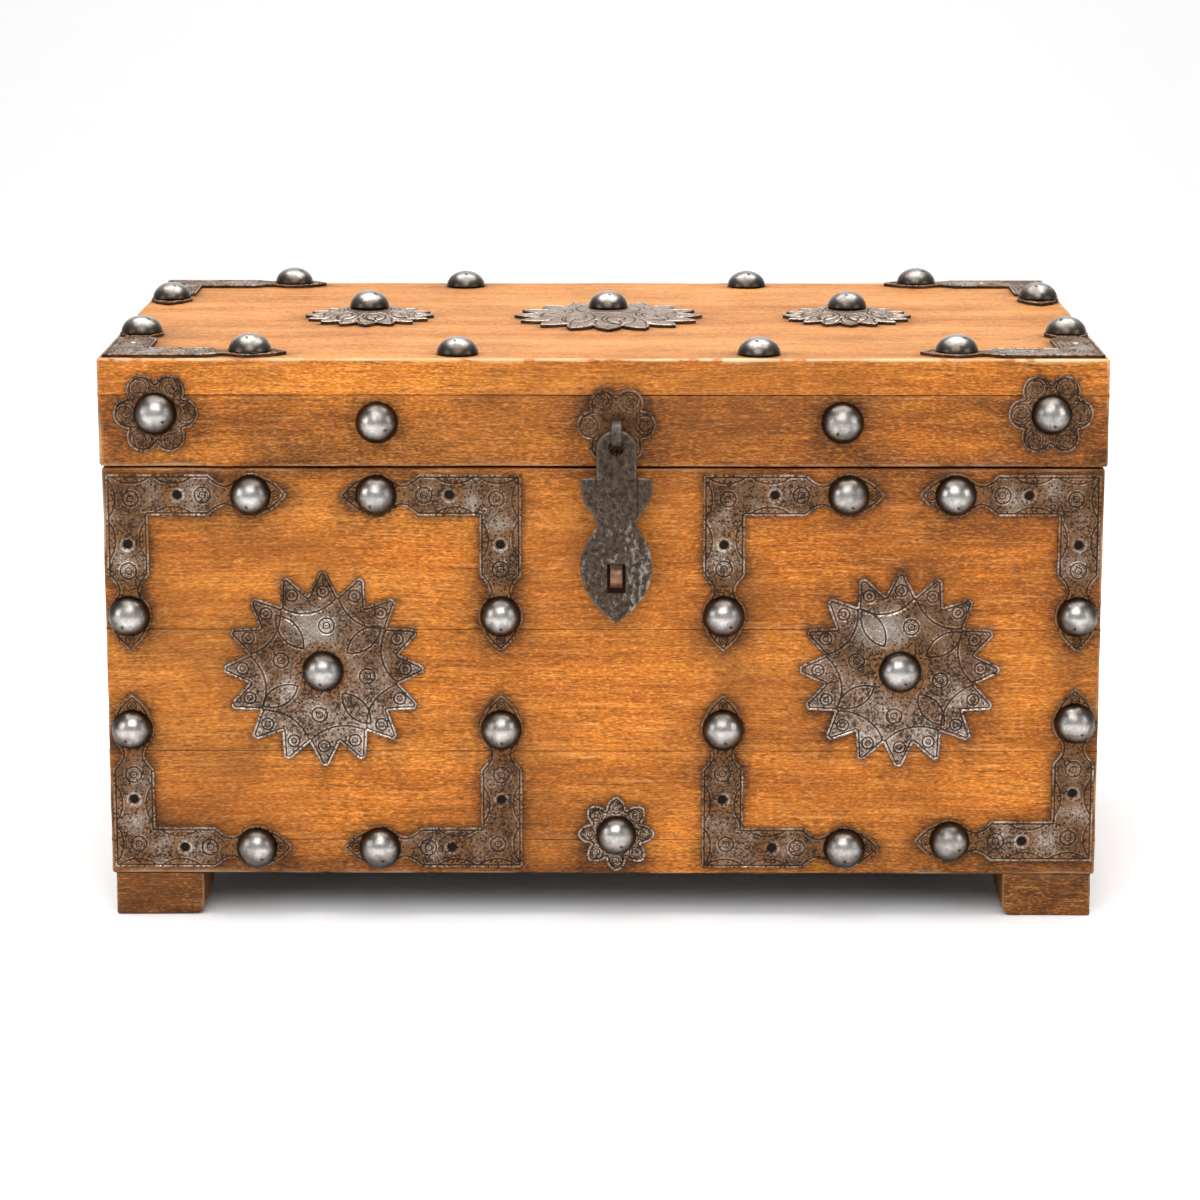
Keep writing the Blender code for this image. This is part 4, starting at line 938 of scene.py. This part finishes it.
def nail_tree():
    """Dome heads on points: a ball flattened below, pitted, turned as the point says."""
    tree = bpy.data.node_groups.new("dome_nails", "GeometryNodeTree")
    for label, kind, size in NAIL_SIZES:
        socket = tree.interface.new_socket(label, in_out="INPUT", socket_type=f"NodeSocket{kind}")
        if size is not None:
            socket.default_value = size
    tree.interface.new_socket("Geometry", in_out="OUTPUT", socket_type="NodeSocketGeometry")
    points = node(tree, "NodeGroupInput")
    labels = [label for label, _, _ in NAIL_SIZES[1:]]
    radius, height, depth, dark, sides, seed, finish = (points.beside(label) for label in labels)
    ball = node(tree, "GeometryNodeMeshUVSphere", {"Segments": sides, "Rings": sides / 2.0, "Radius": 1.0})
    at = node(tree, "GeometryNodeInputPosition")
    x = node(tree, "ShaderNodeSeparateXYZ", {0: at})
    rise = x.beside("Z").most(0.0)
    away = vector_sum("DISTANCE", at, PIT_AT).beside("Value")
    fade = {0: away, 1: 0.0, 2: PIT_REACH, 3: 1.0, 4: 0.0}
    pit = node(tree, "ShaderNodeMapRange", fade, interpolation_type="SMOOTHSTEP")
    up = rise * (1.0 - pit * (depth / height))
    dome = node(tree, "ShaderNodeCombineXYZ", {0: x, 1: x.beside("Y"), 2: up})
    size = node(tree, "ShaderNodeCombineXYZ", {0: radius, 1: radius, 2: height})
    # The low value: painted shade growing from crown to skirt, scaled by the dark skirt input, and darker in
    # the hammer pit.
    painted_skirt_shade = {"Geometry": ball, "Name": "low", "Value": ((1.0 - rise) * dark).most(pit * 0.85)}
    head = node(tree, "GeometryNodeStoreNamedAttribute", painted_skirt_shade, data_type="FLOAT", domain="POINT")
    place = vector_sum("MULTIPLY", dome, size)
    head = node(tree, "GeometryNodeSetPosition", {"Geometry": head, "Position": place})
    turn = node(tree, "GeometryNodeInputNamedAttribute", {"Name": "turn"}, data_type="FLOAT_VECTOR")
    turn = node(tree, "FunctionNodeEulerToRotation", {0: turn})
    spread = {"Min": LEAST_HEAD, "Max": GREATEST_HEAD, "Seed": seed}
    grow = node(tree, "FunctionNodeRandomValue", spread, data_type="FLOAT_VECTOR")
    sockets = {"Points": points, "Instance": head, "Rotation": turn, "Scale": grow}
    heads = node(tree, "GeometryNodeInstanceOnPoints", sockets)
    heads = node(tree, "GeometryNodeRealizeInstances", {0: heads})
    heads = node(tree, "GeometryNodeSetShadeSmooth", {0: heads})
    heads = node(tree, "GeometryNodeSetMaterial", {"Geometry": heads, "Material": finish})
    set_sockets(tree.nodes.new("NodeGroupOutput"), {0: heads})
    return tree


dome_nails = nail_tree()
nail_steel = nail_finish()


def nails(name, seats, **sizes):
    """One object of the nails at some seats, which are pairs of a place and a side's turn."""
    mesh = bpy.data.meshes.new(name)
    mesh.from_pydata([tuple(place) for place, _ in seats], [], [])
    dice = np.random.default_rng(sizes["Seed"])
    spins = [Matrix.Rotation(dice.uniform(-0.9, 0.9), 4, "Z") for _ in seats]
    turns = [value for (_, side), spin in zip(seats, spins) for value in (side @ spin).to_euler()]
    mesh.attributes.new("turn", "FLOAT_VECTOR", "POINT").data.foreach_set("vector", turns)
    obj = bpy.data.objects.new(name, mesh)
    bpy.context.scene.collection.objects.link(obj)
    step = obj.modifiers.new("heads", "NODES")
    step.node_group = dome_nails
    sockets = (item for item in dome_nails.interface.items_tree if item.in_out == "INPUT")
    labels = {socket.name: socket.identifier for socket in sockets}
    for label, value in {**sizes, "Finish": nail_steel}.items():
        step[labels[label.replace("_", " ")]] = value
    made = bpy.data.meshes.new_from_object(obj.evaluated_get(bpy.context.evaluated_depsgraph_get()))
    obj.modifiers.remove(step)
    obj.data = made
    made.name = name
    low, facing = np.zeros(len(made.vertices)), np.zeros(len(made.vertices) * 3)
    made.attributes["low"].data.foreach_get("value", low)
    made.vertices.foreach_get("normal", facing)
    # Painted shade: the side of each head that faces down is made darker.
    low = np.clip(low + 0.30 * np.clip(-facing[2::3], 0, 1), 0, 1)
    made.attributes["low"].data.foreach_set("value", low.astype(np.float32))
    return obj


RAIL_NAILS = ["lid_front_stud_left", "lid_front_stud_right"]
TOP_NAILS = [f"lid_top_stud_{row}_{side}" for row in ("front", "back") for side in ("left", "right")]
for name in RAIL_NAILS + TOP_NAILS:
    middle = sum(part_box(name), Vector()) / 2
    if name in RAIL_NAILS:
        seat_nail(Vector((middle.x, rail_face, middle.z)), ON_FRONT, "lid")
    else:
        seat_nail(Vector((middle.x, middle.y, top_face)), ON_TOP, "lid")
settle(nails("front_dome_nails", nail_seats["trunk_body"], Seed=3), "trunk_body", "chased_iron")
settle(nails("lid_front_dome_nails", nail_seats["lid"], Seed=4), "lid", "dark_iron", *RAIL_NAILS)
# Less painted shade on the skirts of the heads on the lid's top.
lid_nails = nails("lid_top_dome_nails", nail_seats["lid_top"], Seed=7, Dark_skirt=0.7)
settle(lid_nails, "lid", "dark_iron", *TOP_NAILS)

# Staples. Flat iron bars bent to a loop: one through the lid's rosette, which carries the hasp, and one in
# the front board, which the hasp's slot closes over.
BAR_THICK = 0.0018
BAR_EASE = 0.0005
LOOP_STEPS = 28
STAPLES = {"hasp_staple": (0.0062, 0.0062, "lid", 0.0), "lock_staple": (0.0060, 0.0076, "trunk_body", 1.0)}
FORGED_PITS = (0.022, 0.013, 0.008)
FORGED = (0.064, 0.044, 0.031)
FORGED_SKIN = (0.125, 0.093, 0.071)
FORGED_BARE = (0.33, 0.29, 0.25)
FORGED_RIM = (0.40, 0.37, 0.34)
STAPLE_RUST = (0.34, 0.165, 0.085)


def forged_finish(name):
    """Dark hammered iron, bare and silvery where it is rubbed."""
    made, tree, place = new_finish(name)
    scratched = {"Vector": place, "Rotation": (0, 0.7, 0), "Scale": (2.0, 1.0, 0.8)}
    patches = noise(node(tree, "ShaderNodeMapping", scratched), 150.0, 6.0, 0.68)
    skin = noise(place, 330.0, 4.0, 0.60)
    colour = ramp(skin, (0.30, FORGED_PITS), (0.50, FORGED), (0.76, FORGED_SKIN))
    rusty = point_value(tree, "rust") * ramp(patches, (0.40, 0.35), (0.58, 0.95))
    colour = mix(rusty, colour, STAPLE_RUST)
    bare = point_value(tree, "rubbed") + patches * 1.3 + skin * 0.4
    colour = mix(span(bare, 1.11, 1.27, 0.0, 0.80), colour, FORGED_BARE)
    scrape = span(abs(noise(place, 60.0, 3.0, 0.6) - 0.5), 0.002, 0.010, 0.4, 0.0)
    colour = mix(scrape * ramp(patches, (0.46, 0.0), (0.56, 1.0)), colour, FORGED_BARE)
    # Edges lightened as wear, and upward plate walls as a painted highlight.
    colour = mix(point_value(tree, "rim") * 0.18, colour, FORGED_RIM)
    # Dark in the hasp's seam, and painted shade on the hasp's downward walls.
    colour = mix(point_value(tree, "recess_and_shade"), colour, SOOT_AND_SHADE)
    sockets = {"Base Color": colour, "Roughness": ramp(skin, (0.3, 0.56), (0.7, 0.42)), "Metallic": 0.85}
    sockets["Normal"] = node(tree, "ShaderNodeBump", {"Height": skin, "Strength": 0.22, "Distance": 0.0005})
    return coat(made, sockets)


def swept(path, section):
    """Points and faces of a section carried along a line; path gives (place, out, side) triples."""
    rows = np.array([[place + out * u + side * v for u, v in section] for place, out, side in path])
    key = np.arange(rows.size // 3).reshape(rows.shape[:2])
    walls = ring_quads(key)[:, [0, 3, 2, 1]].tolist()
    return rows.reshape(-1, 3), [*walls, key[0][::-1].tolist(), key[-1].tolist()]


def round_corners(wide, tall, ease, turns):
    """A rectangle with rounded corners."""
    section = []
    for u, v, start in ((1, 1, 0), (-1, 1, 90), (-1, -1, 180), (1, -1, 270)):
        for x, y in (polar(math.radians(start + turn), ease) for turn in turns):
            section.append((u * (wide / 2 - ease) + x, v * (tall / 2 - ease) + y))
    return section


forged_iron = forged_finish("forged_dark_iron")
for name, (loop, wide, body, rust) in STAPLES.items():
    low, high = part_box(name)
    middle = (low + high) / 2
    centre, radius = low.y + loop + BAR_THICK, loop + BAR_THICK / 2
    turns = [math.radians(90 - 180 * i / LOOP_STEPS) for i in range(LOOP_STEPS + 1)]
    outs = [(0, 1), *((-math.cos(a), math.sin(a)) for a in turns), (0, -1)]
    path = []
    for i, (u, v) in enumerate(outs):
        bent = 0 < i < len(outs) - 1
        place = (middle.x, centre + radius * u if bent else high.y, middle.z + radius * v)
        path.append((np.array(place), np.array((0, u, v)), np.array((1.0, 0, 0))))
    points, faces = swept(path, round_corners(BAR_THICK, wide, BAR_EASE, (0, 30, 60, 90)))
    shares = {"rim": 0.35, "rubbed": 0.08, "rust": rust}
    values = {label: np.full(len(points), share) for label, share in shares.items()}
    settle(shell(f"{name}_bar", points, faces, forged_iron, values), body, "dark_iron", name)

# Hasp. A forged iron tongue that hangs in the upper staple by the eye in its head. The strap runs down over
# two wings to a waist, and a slot in the pointed oval below closes over the lower staple.
HASP_SHEET = 0.0022
HASP_TOP = 0.0025
STRAP_HALF = 0.0120
WING_TOP, WING_HALF = -0.0266, 0.0215
WING_ROUND = 0.0008
WAIST_AT, WAIST_HALF = -0.0554, 0.0116
BELLY_AT = -0.0798
TONGUE_TIP, TIP_HALF = -0.1151, 0.0005
EYE_AT, EYE_RADIUS = -0.0079, 0.0050
SLOT_AT, SLOT_WIDE, SLOT_TALL, SLOT_ROUND = -0.0876, 0.0112, 0.0180, 0.0009
HASP_STEP, HASP_COLUMNS = 0.0009, 49


def joint_place(name):
    return Vector(next(joint["pos_m"] for joint in frame["joints"] if joint["name"] == name))


def set_on(matrix, points):
    return np.array([matrix @ Vector(point) for point in points])


def long_plate(along, half, columns, turned):
    """Points, faces and outline of an upright plate that is the same on both sides of its middle."""
    x = (half[:, None] * np.linspace(-1, 1, columns)).ravel()
    side = list(zip(half, along))
    outline = side + [(-u, v) for u, v in reversed(side)]
    return x, np.repeat(along, columns), grid_faces(len(along), columns, turned).tolist(), outline


def hasp_side():
    """Height and half width down one side: round head, strap, wing, waist, oval and point."""
    turns = np.radians(np.linspace(87, 0, 12))
    side = [(HASP_TOP - STRAP_HALF * (1 - math.sin(a)), STRAP_HALF * math.cos(a)) for a in turns]
    side += [(WING_TOP + 0.0005, STRAP_HALF), (WING_TOP, WING_HALF - WING_ROUND)]
    side += [(WING_TOP - WING_ROUND, WING_HALF)]
    curves = (
        (WAIST_AT, WAIST_HALF, lambda share: (1 - math.cos(math.pi * share**1.65)) / 2),
        (BELLY_AT, WING_HALF, lambda share: math.sin(math.pi / 2 * share)),
        (TONGUE_TIP, TIP_HALF, lambda share: share**2.2),
    )
    for at, half, curve in curves:
        above, wide = side[-1]
        for share in np.linspace(0, 1, 25)[1:]:
            side.append((above + (at - above) * share, wide + (half - wide) * curve(share)))
    return stepped(side, HASP_STEP)


def bore(obj, matrix, holes):
    """Cuts holes through a plate; each is a height and the outline round it."""
    cutters = []
    for at, corners in holes:
        count = len(corners)
        ends = [(u, v + at, z) for z in (-0.004, 0.004) for u, v in corners]
        sides = [(i, (i + 1) % count, count + (i + 1) % count, count + i) for i in range(count)]
        caps = [list(reversed(range(count))), list(range(count, 2 * count))]
        mesh = bpy.data.meshes.new("hole")
        mesh.from_pydata(set_on(matrix, ends).tolist(), [], [*sides, *caps])
        cutters.append(bpy.data.objects.new("hole", mesh))
        bpy.context.scene.collection.objects.link(cutters[-1])
        step = obj.modifiers.new("hole", "BOOLEAN")
        step.operation, step.solver, step.object = "DIFFERENCE", "EXACT", cutters[-1]
    made = bpy.data.meshes.new_from_object(obj.evaluated_get(bpy.context.evaluated_depsgraph_get()))
    obj.modifiers.clear()
    obj.data = made
    for cutter in cutters:
        bpy.data.objects.remove(cutter, do_unlink=True)


down, half = hasp_side()[::-1].T
flat = long_plate(down, half, HASP_COLUMNS, True)
x, y = flat[:2]
rim = line_distance(x, y, flat[3])
strap = np.clip((STRAP_HALF + 0.0002 - np.abs(x)) / 0.0005, 0, 1) * np.clip((y + 0.052) / 0.006, 0, 1)
seam = sink(np.abs(x) - STRAP_HALF - 0.0005, 0.0004) * np.where(x > 0, 1.0, 0.4)
seam = seam * (y < -0.0262) * (y > -0.050)
dents = swells(x, y, x * 0, 0.012, 600)
top = HASP_SHEET / 2 - 0.0003 + 0.00028 * strap - 0.00035 * seam
top = top + 0.00006 * dents - 0.0005 * sink(rim, 0.0007)
below = np.clip((-0.046 - y) / 0.012, 0, 1)
values = {"rim": np.clip(sink(rim - 0.0006, 0.0006) * (0.5 + 0.5 * dents), 0, 1), "recess_and_shade": 0.9 * seam}
values["rubbed"] = 0.20 * below + below * np.clip(x, -0.008, 0.02) * 5
matrix = Matrix.Translation(joint_place("hasp_swing")) @ ON_FRONT
tongue = plate("hasp_tongue", flat, top, values, matrix, forged_iron, -HASP_SHEET / 2)
eye = [polar(2 * math.pi * i / 40, EYE_RADIUS) for i in range(40)]
slot = round_corners(SLOT_WIDE, SLOT_TALL, SLOT_ROUND, (0, 45, 90))
bore(tongue, matrix, ((EYE_AT, eye), (SLOT_AT, slot)))
settle(tongue, "hasp", "dark_iron", "hasp")

# Strap hinges. Two on the back: each has a long strap on the body and a short one on the lid, rolled round
# a pin, with leaf ends like the brackets and small nails.
KNUCKLE, KNUCKLE_BORE, KNUCKLE_ROOM = 0.0045, 0.0027, 0.0002
KNUCKLE_BACK = 0.0003
TUBE_EASE, TUBE_SIDES = 0.0004, 32
HINGE_WIDE = 0.030
HINGE_STEP, HINGE_COLUMNS = 0.0012, 25
BODY_STRAP_NAILS, LID_STRAP_NAILS = (-0.026, -0.052, -0.074), (0.014,)
ON_BACK = Matrix.Rotation(math.pi, 4, "Z") @ ON_FRONT
back_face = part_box("back_board_lower")[1].y
hinge_z = joint_place("lid_open").z
small_seats = {"trunk_body": [], "lid": []}


def tube(start, end, outer, bore, height, matrix):
    """Points and faces of a short tube along X, rounded at its ends."""
    half = [(start, bore), (start, outer - TUBE_EASE), (start + TUBE_EASE, outer)]
    profile = half + [(start + end - x, radius) for x, radius in reversed(half)]
    turns = [2 * math.pi * k / TUBE_SIDES for k in range(TUBE_SIDES)]
    points = [(x, r * math.cos(a), height + r * math.sin(a)) for x, r in profile for a in turns]
    key = np.arange(len(points)).reshape(-1, TUBE_SIDES)
    return set_on(matrix, points), quads(np.pad(key, (0, 1), "wrap")).tolist()


def join_shapes(shapes):
    points, faces, total = [], [], 0
    for more_points, more_faces in shapes:
        points.append(more_points)
        faces += [[total + i for i in face] for face in more_faces]
        total += len(more_points)
    return np.concatenate(points), faces


def forged_top(rim, cut, depth):
    return SHEET_FACE - 0.00035 * sink(rim, 0.0006) - depth * cut


def hinge_strap(name, way, matrix, reach):
    """The flat of a strap, which runs up or down from the hinge's axis to its leaf."""
    start, tip = KNUCKLE + 0.0008, reach + STRAP_TIP
    along = np.linspace(start, tip - 0.0001, round((tip - start) / HINGE_STEP))
    half = strap_half(along, STRAP_STRAIGHT + reach, HINGE_WIDE / 2, reach)
    flat = long_plate(way * along, half, HINGE_COLUMNS, way > 0)
    x, y, _, outline = flat
    rim = line_distance(x, y, outline)
    top = forged_top(rim, 0.7 * sink(rim - 0.0026, 0.0005), 0.00025)
    top = top + 0.00006 * swells(x, y, x * 0, 0.015, 640 + way)
    values = {"rim": np.clip(sink(rim - 0.0007, 0.0007), 0, 1) * 0.8}
    return plate(f"{name}_forged", flat, top, values, matrix, forged_iron)


def knuckles(name, thirds, way, matrix):
    """The rolled ends of a strap, a third of its width each, with the metal that runs into them."""
    shapes = []
    block = [(0, 1, 3, 2), (4, 6, 7, 5), (0, 4, 5, 1), (2, 3, 7, 6), (1, 5, 7, 3), (0, 2, 6, 4)]
    for third in thirds:
        start = (third - 1.5) * HINGE_WIDE / 3 + (KNUCKLE_ROOM if third else 0.0)
        end = (third - 0.5) * HINGE_WIDE / 3 - (KNUCKLE_ROOM if third < 2 else 0.0)
        shapes.append(tube(start, end, KNUCKLE, KNUCKLE_BORE, KNUCKLE_BACK + KNUCKLE, matrix))
        corners = [(u, way * 0.0058, w) for u in (start, end) for w in (0.0002, SHEET_FACE)]
        corners += [(u, way * 0.0005, w) for u in (start, end) for w in (KNUCKLE_BACK, SHEET_FACE)]
        shapes.append((set_on(matrix, corners), block if way > 0 else [face[::-1] for face in block]))
    points, faces = join_shapes(shapes)
    return shell(f"{name}_knuckles", points, faces, forged_iron, {"rim": np.zeros(len(points))})


for side in ("left", "right"):
    for part, way, body, thirds, spots in (
        ("body", -1, "trunk_body", (0, 2), BODY_STRAP_NAILS),
        ("lid", 1, "lid", (1,), LID_STRAP_NAILS),
    ):
        name = f"{side}_hinge_{part}_strap"
        low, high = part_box(name)
        matrix = Matrix.Translation(((low.x + high.x) / 2, back_face, hinge_z)) @ ON_BACK
        reach = (high.z - hinge_z if way > 0 else hinge_z - low.z) - STRAP_TIP
        settle(hinge_strap(name, way, matrix, reach), body, "dark_iron", name)
        settle(knuckles(name, thirds, way, matrix), body, "dark_iron", name)
        for t in (*spots, way * (reach + NAIL_AT)):
            small_seats[body].append((matrix @ Vector((0, t, SHEET_FACE)), ON_BACK))
    pin = solids[f"{side}_hinge_pin"]
    pin.data.materials.clear()
    pin.data.materials.append(forged_iron)

# Drop handles. A forged plate with two lugs on each end board, and a round iron bail whose tails turn in
# the lugs. The grip is swollen a little and polished by use.
ROD, ROD_SIDES, ROD_ROOM = 0.0035, 20, 0.0004
LUG_AT, LUG_LONG, LUG_RADIUS = 0.072, 0.010, 0.0055
PLATE_HALF, PLATE_TIP = 0.015, 0.094
PLATE_ROWS, PLATE_COLUMNS = 160, 27
TAIL_END = 0.083
SHOULDER_X, SHOULDER_ROUND = 0.061, 0.008
GRIP_X, GRIP_Z, GRIP_ROUND = 0.037, -0.036, 0.016
BAIL_STEP = 0.004
PLATE_NAILS = ((-0.056, 0.0085), (0.056, 0.0085), (-0.056, -0.0085), (0.056, -0.0085))


def bail_path():
    """Centre line of the bail in its own plane, as smooth arcs between straight runs."""
    half = [(TAIL_END, 0.0)]
    for turn in (math.radians(90 + 9 * i) for i in range(11)):
        half.append((SHOULDER_X + SHOULDER_ROUND * math.cos(turn), SHOULDER_ROUND * (math.sin(turn) - 1)))
    for turn in (math.radians(-9 * i) for i in range(11)):
        half.append((GRIP_X + GRIP_ROUND * math.cos(turn), GRIP_Z + GRIP_ROUND * math.sin(turn)))
    return stepped(half + [(-x, z) for x, z in reversed(half)], BAIL_STEP)


def bail_shape(matrix):
    path = bail_path()
    tangent = np.gradient(path, axis=0)
    tangent /= np.linalg.norm(tangent, axis=1)[:, None]
    turn = matrix.to_3x3()
    triples = []
    for (x, y), (tx, ty) in zip(path, tangent):
        swell = 1 + 0.16 * math.exp(-((x / 0.026) ** 2)) * (y < -0.045)
        out, side = turn @ Vector((-ty, tx, 0)) * swell, turn @ Vector((0, 0, 1)) * swell
        triples.append((np.array(matrix @ Vector((x, y, 0))), np.array(out), np.array(side)))
    return swept(triples, [polar(2 * math.pi * k / ROD_SIDES, ROD) for k in range(ROD_SIDES)])


for way, side in enumerate(("left", "right")):
    turn = Matrix.Rotation((way - 0.5) * math.pi, 4, "Z") @ ON_FRONT
    axis = joint_place(f"{side}_handle_swing")
    points, faces = bail_shape(Matrix.Translation(axis) @ turn)
    values = {"rim": 0.6 * sink(points[:, 1] - axis.y, 0.03) * (points[:, 2] < axis.z - 0.045)}
    bail = shell(f"{side}_handle_bail", points, faces, forged_iron, values)
    settle(bail, f"{side}_handle", "dark_iron", f"{side}_handle")
    name = f"{side}_handle_plate"
    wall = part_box(f"{side}_end_upper")[way].x
    matrix = Matrix.Translation((wall, axis.y, axis.z)) @ turn
    along = np.linspace(-PLATE_TIP + 0.0001, PLATE_TIP - 0.0001, PLATE_ROWS)
    half = PLATE_HALF * np.clip((PLATE_TIP - np.abs(along)) / (0.8 * PLATE_HALF), 0, 1)
    y, x, faces, outline = long_plate(along, half, PLATE_COLUMNS, False)
    rim = line_distance(y, x, outline)
    cut = deepest(0.8 * sink(rim - 0.0026, 0.0005), ringed_boss(x, y, (0, 0), 0.0075))
    top = forged_top(rim, cut, 0.0003)
    values = {"rim": np.clip(sink(rim - 0.0007, 0.0007), 0, 1)}
    made = plate(f"{name}_forged", (x, y, faces, outline), top, values, matrix, forged_iron)
    settle(made, "trunk_body", "dark_iron", name)
    ends = ((at - LUG_LONG / 2, at + LUG_LONG / 2) for at in (-LUG_AT, LUG_AT))
    out = abs(axis.x - wall)
    points, faces = join_shapes([tube(*end, LUG_RADIUS, ROD + ROD_ROOM, out, matrix) for end in ends])
    lugs = shell(f"{side}_handle_lugs", points, faces, forged_iron, {"rim": np.zeros(len(points))})
    settle(lugs, "trunk_body", "dark_iron", name)
    for at, up in PLATE_NAILS:
        small_seats["trunk_body"].append((matrix @ Vector((at, up, SHEET_FACE)), turn))

# Small nails. Flat-headed clout nails of the same steel, driven into the boards to hold the hinges and
# the handle plates.
CLOUT = {"Head_radius": 0.0031, "Head_height": 0.0013, "Pit_depth": 0.0, "Sides": 16}
settle(nails("body_clout_nails", small_seats["trunk_body"], Seed=5, **CLOUT), "trunk_body", "dark_iron")
settle(nails("lid_clout_nails", small_seats["lid"], Seed=6, **CLOUT), "lid", "dark_iron")

# Studio. A pale sweep under and behind the trunk, a wide soft light overhead, a tall one in front, two weak
# fills, and the camera a little above the lid.
PAPER = (0.93, 0.93, 0.93)
SWEEP_FRONT, SWEEP_BACK, SWEEP_ROUND = -4.5, 1.6, 1.2
SWEEP_TOP, SWEEP_SIDE = 4.5, 6.0
profile = [(SWEEP_FRONT, 0.0), (SWEEP_BACK, 0.0)]
for turn in (math.radians(9 * i) for i in range(1, 11)):
    profile.append((SWEEP_BACK + SWEEP_ROUND * math.sin(turn), SWEEP_ROUND * (1 - math.cos(turn))))
profile.append((SWEEP_BACK + SWEEP_ROUND, SWEEP_TOP))
rows = [(x, y, z) for y, z in profile for x in (-SWEEP_SIDE, SWEEP_SIDE)]
sheets = [(2 * i, 2 * i + 1, 2 * i + 3, 2 * i + 2) for i in range(len(profile) - 1)]
paper = coat(new_finish("studio_paper")[0], {"Base Color": PAPER, "Roughness": 0.7})
shell("studio_sweep", rows, sheets, paper, sharp=180)


def soft_light(name, place, aim, wide, tall, power):
    lamp = bpy.data.lights.new(name, "AREA")
    lamp.shape, lamp.size, lamp.size_y, lamp.energy = "RECTANGLE", wide, tall, power
    obj = bpy.data.objects.new(name, lamp)
    obj.location = place
    obj.rotation_euler = (Vector(aim) - Vector(place)).to_track_quat("-Z", "Y").to_euler()
    bpy.context.scene.collection.objects.link(obj)


soft_light("overhead", (0.0, 0.1, 2.1), (0.0, 0.1, 0.0), 2.6, 2.0, 66)
soft_light("front_tall", (-0.15, -1.7, 1.65), (0.0, -0.1, 0.2), 1.4, 1.5, 25)
soft_light("left_fill", (-2.2, -1.4, 0.9), (0.0, 0.0, 0.2), 1.2, 1.2, 12)
soft_light("right_fill", (2.2, -1.4, 0.9), (0.0, 0.0, 0.2), 1.2, 1.2, 10)
world = bpy.data.worlds.new("studio_air")
world.use_nodes = True
set_sockets(world.node_tree.nodes["Background"], {0: (1.0, 1.0, 1.0), 1: 0.35})
bpy.context.scene.world = world
bpy.context.scene.view_settings.view_transform = "Standard"

lens = bpy.data.cameras.new("camera")
lens.lens, lens.sensor_width, lens.shift_y = 107.09, 36.0, -0.10
camera = bpy.data.objects.new("camera", lens)
camera.location = (0.0091, -2.2566, 0.6783)
camera.rotation_euler = (math.radians(90 - 10.973), 0, math.radians(0.299))
bpy.context.scene.collection.objects.link(camera)
bpy.context.scene.camera = camera
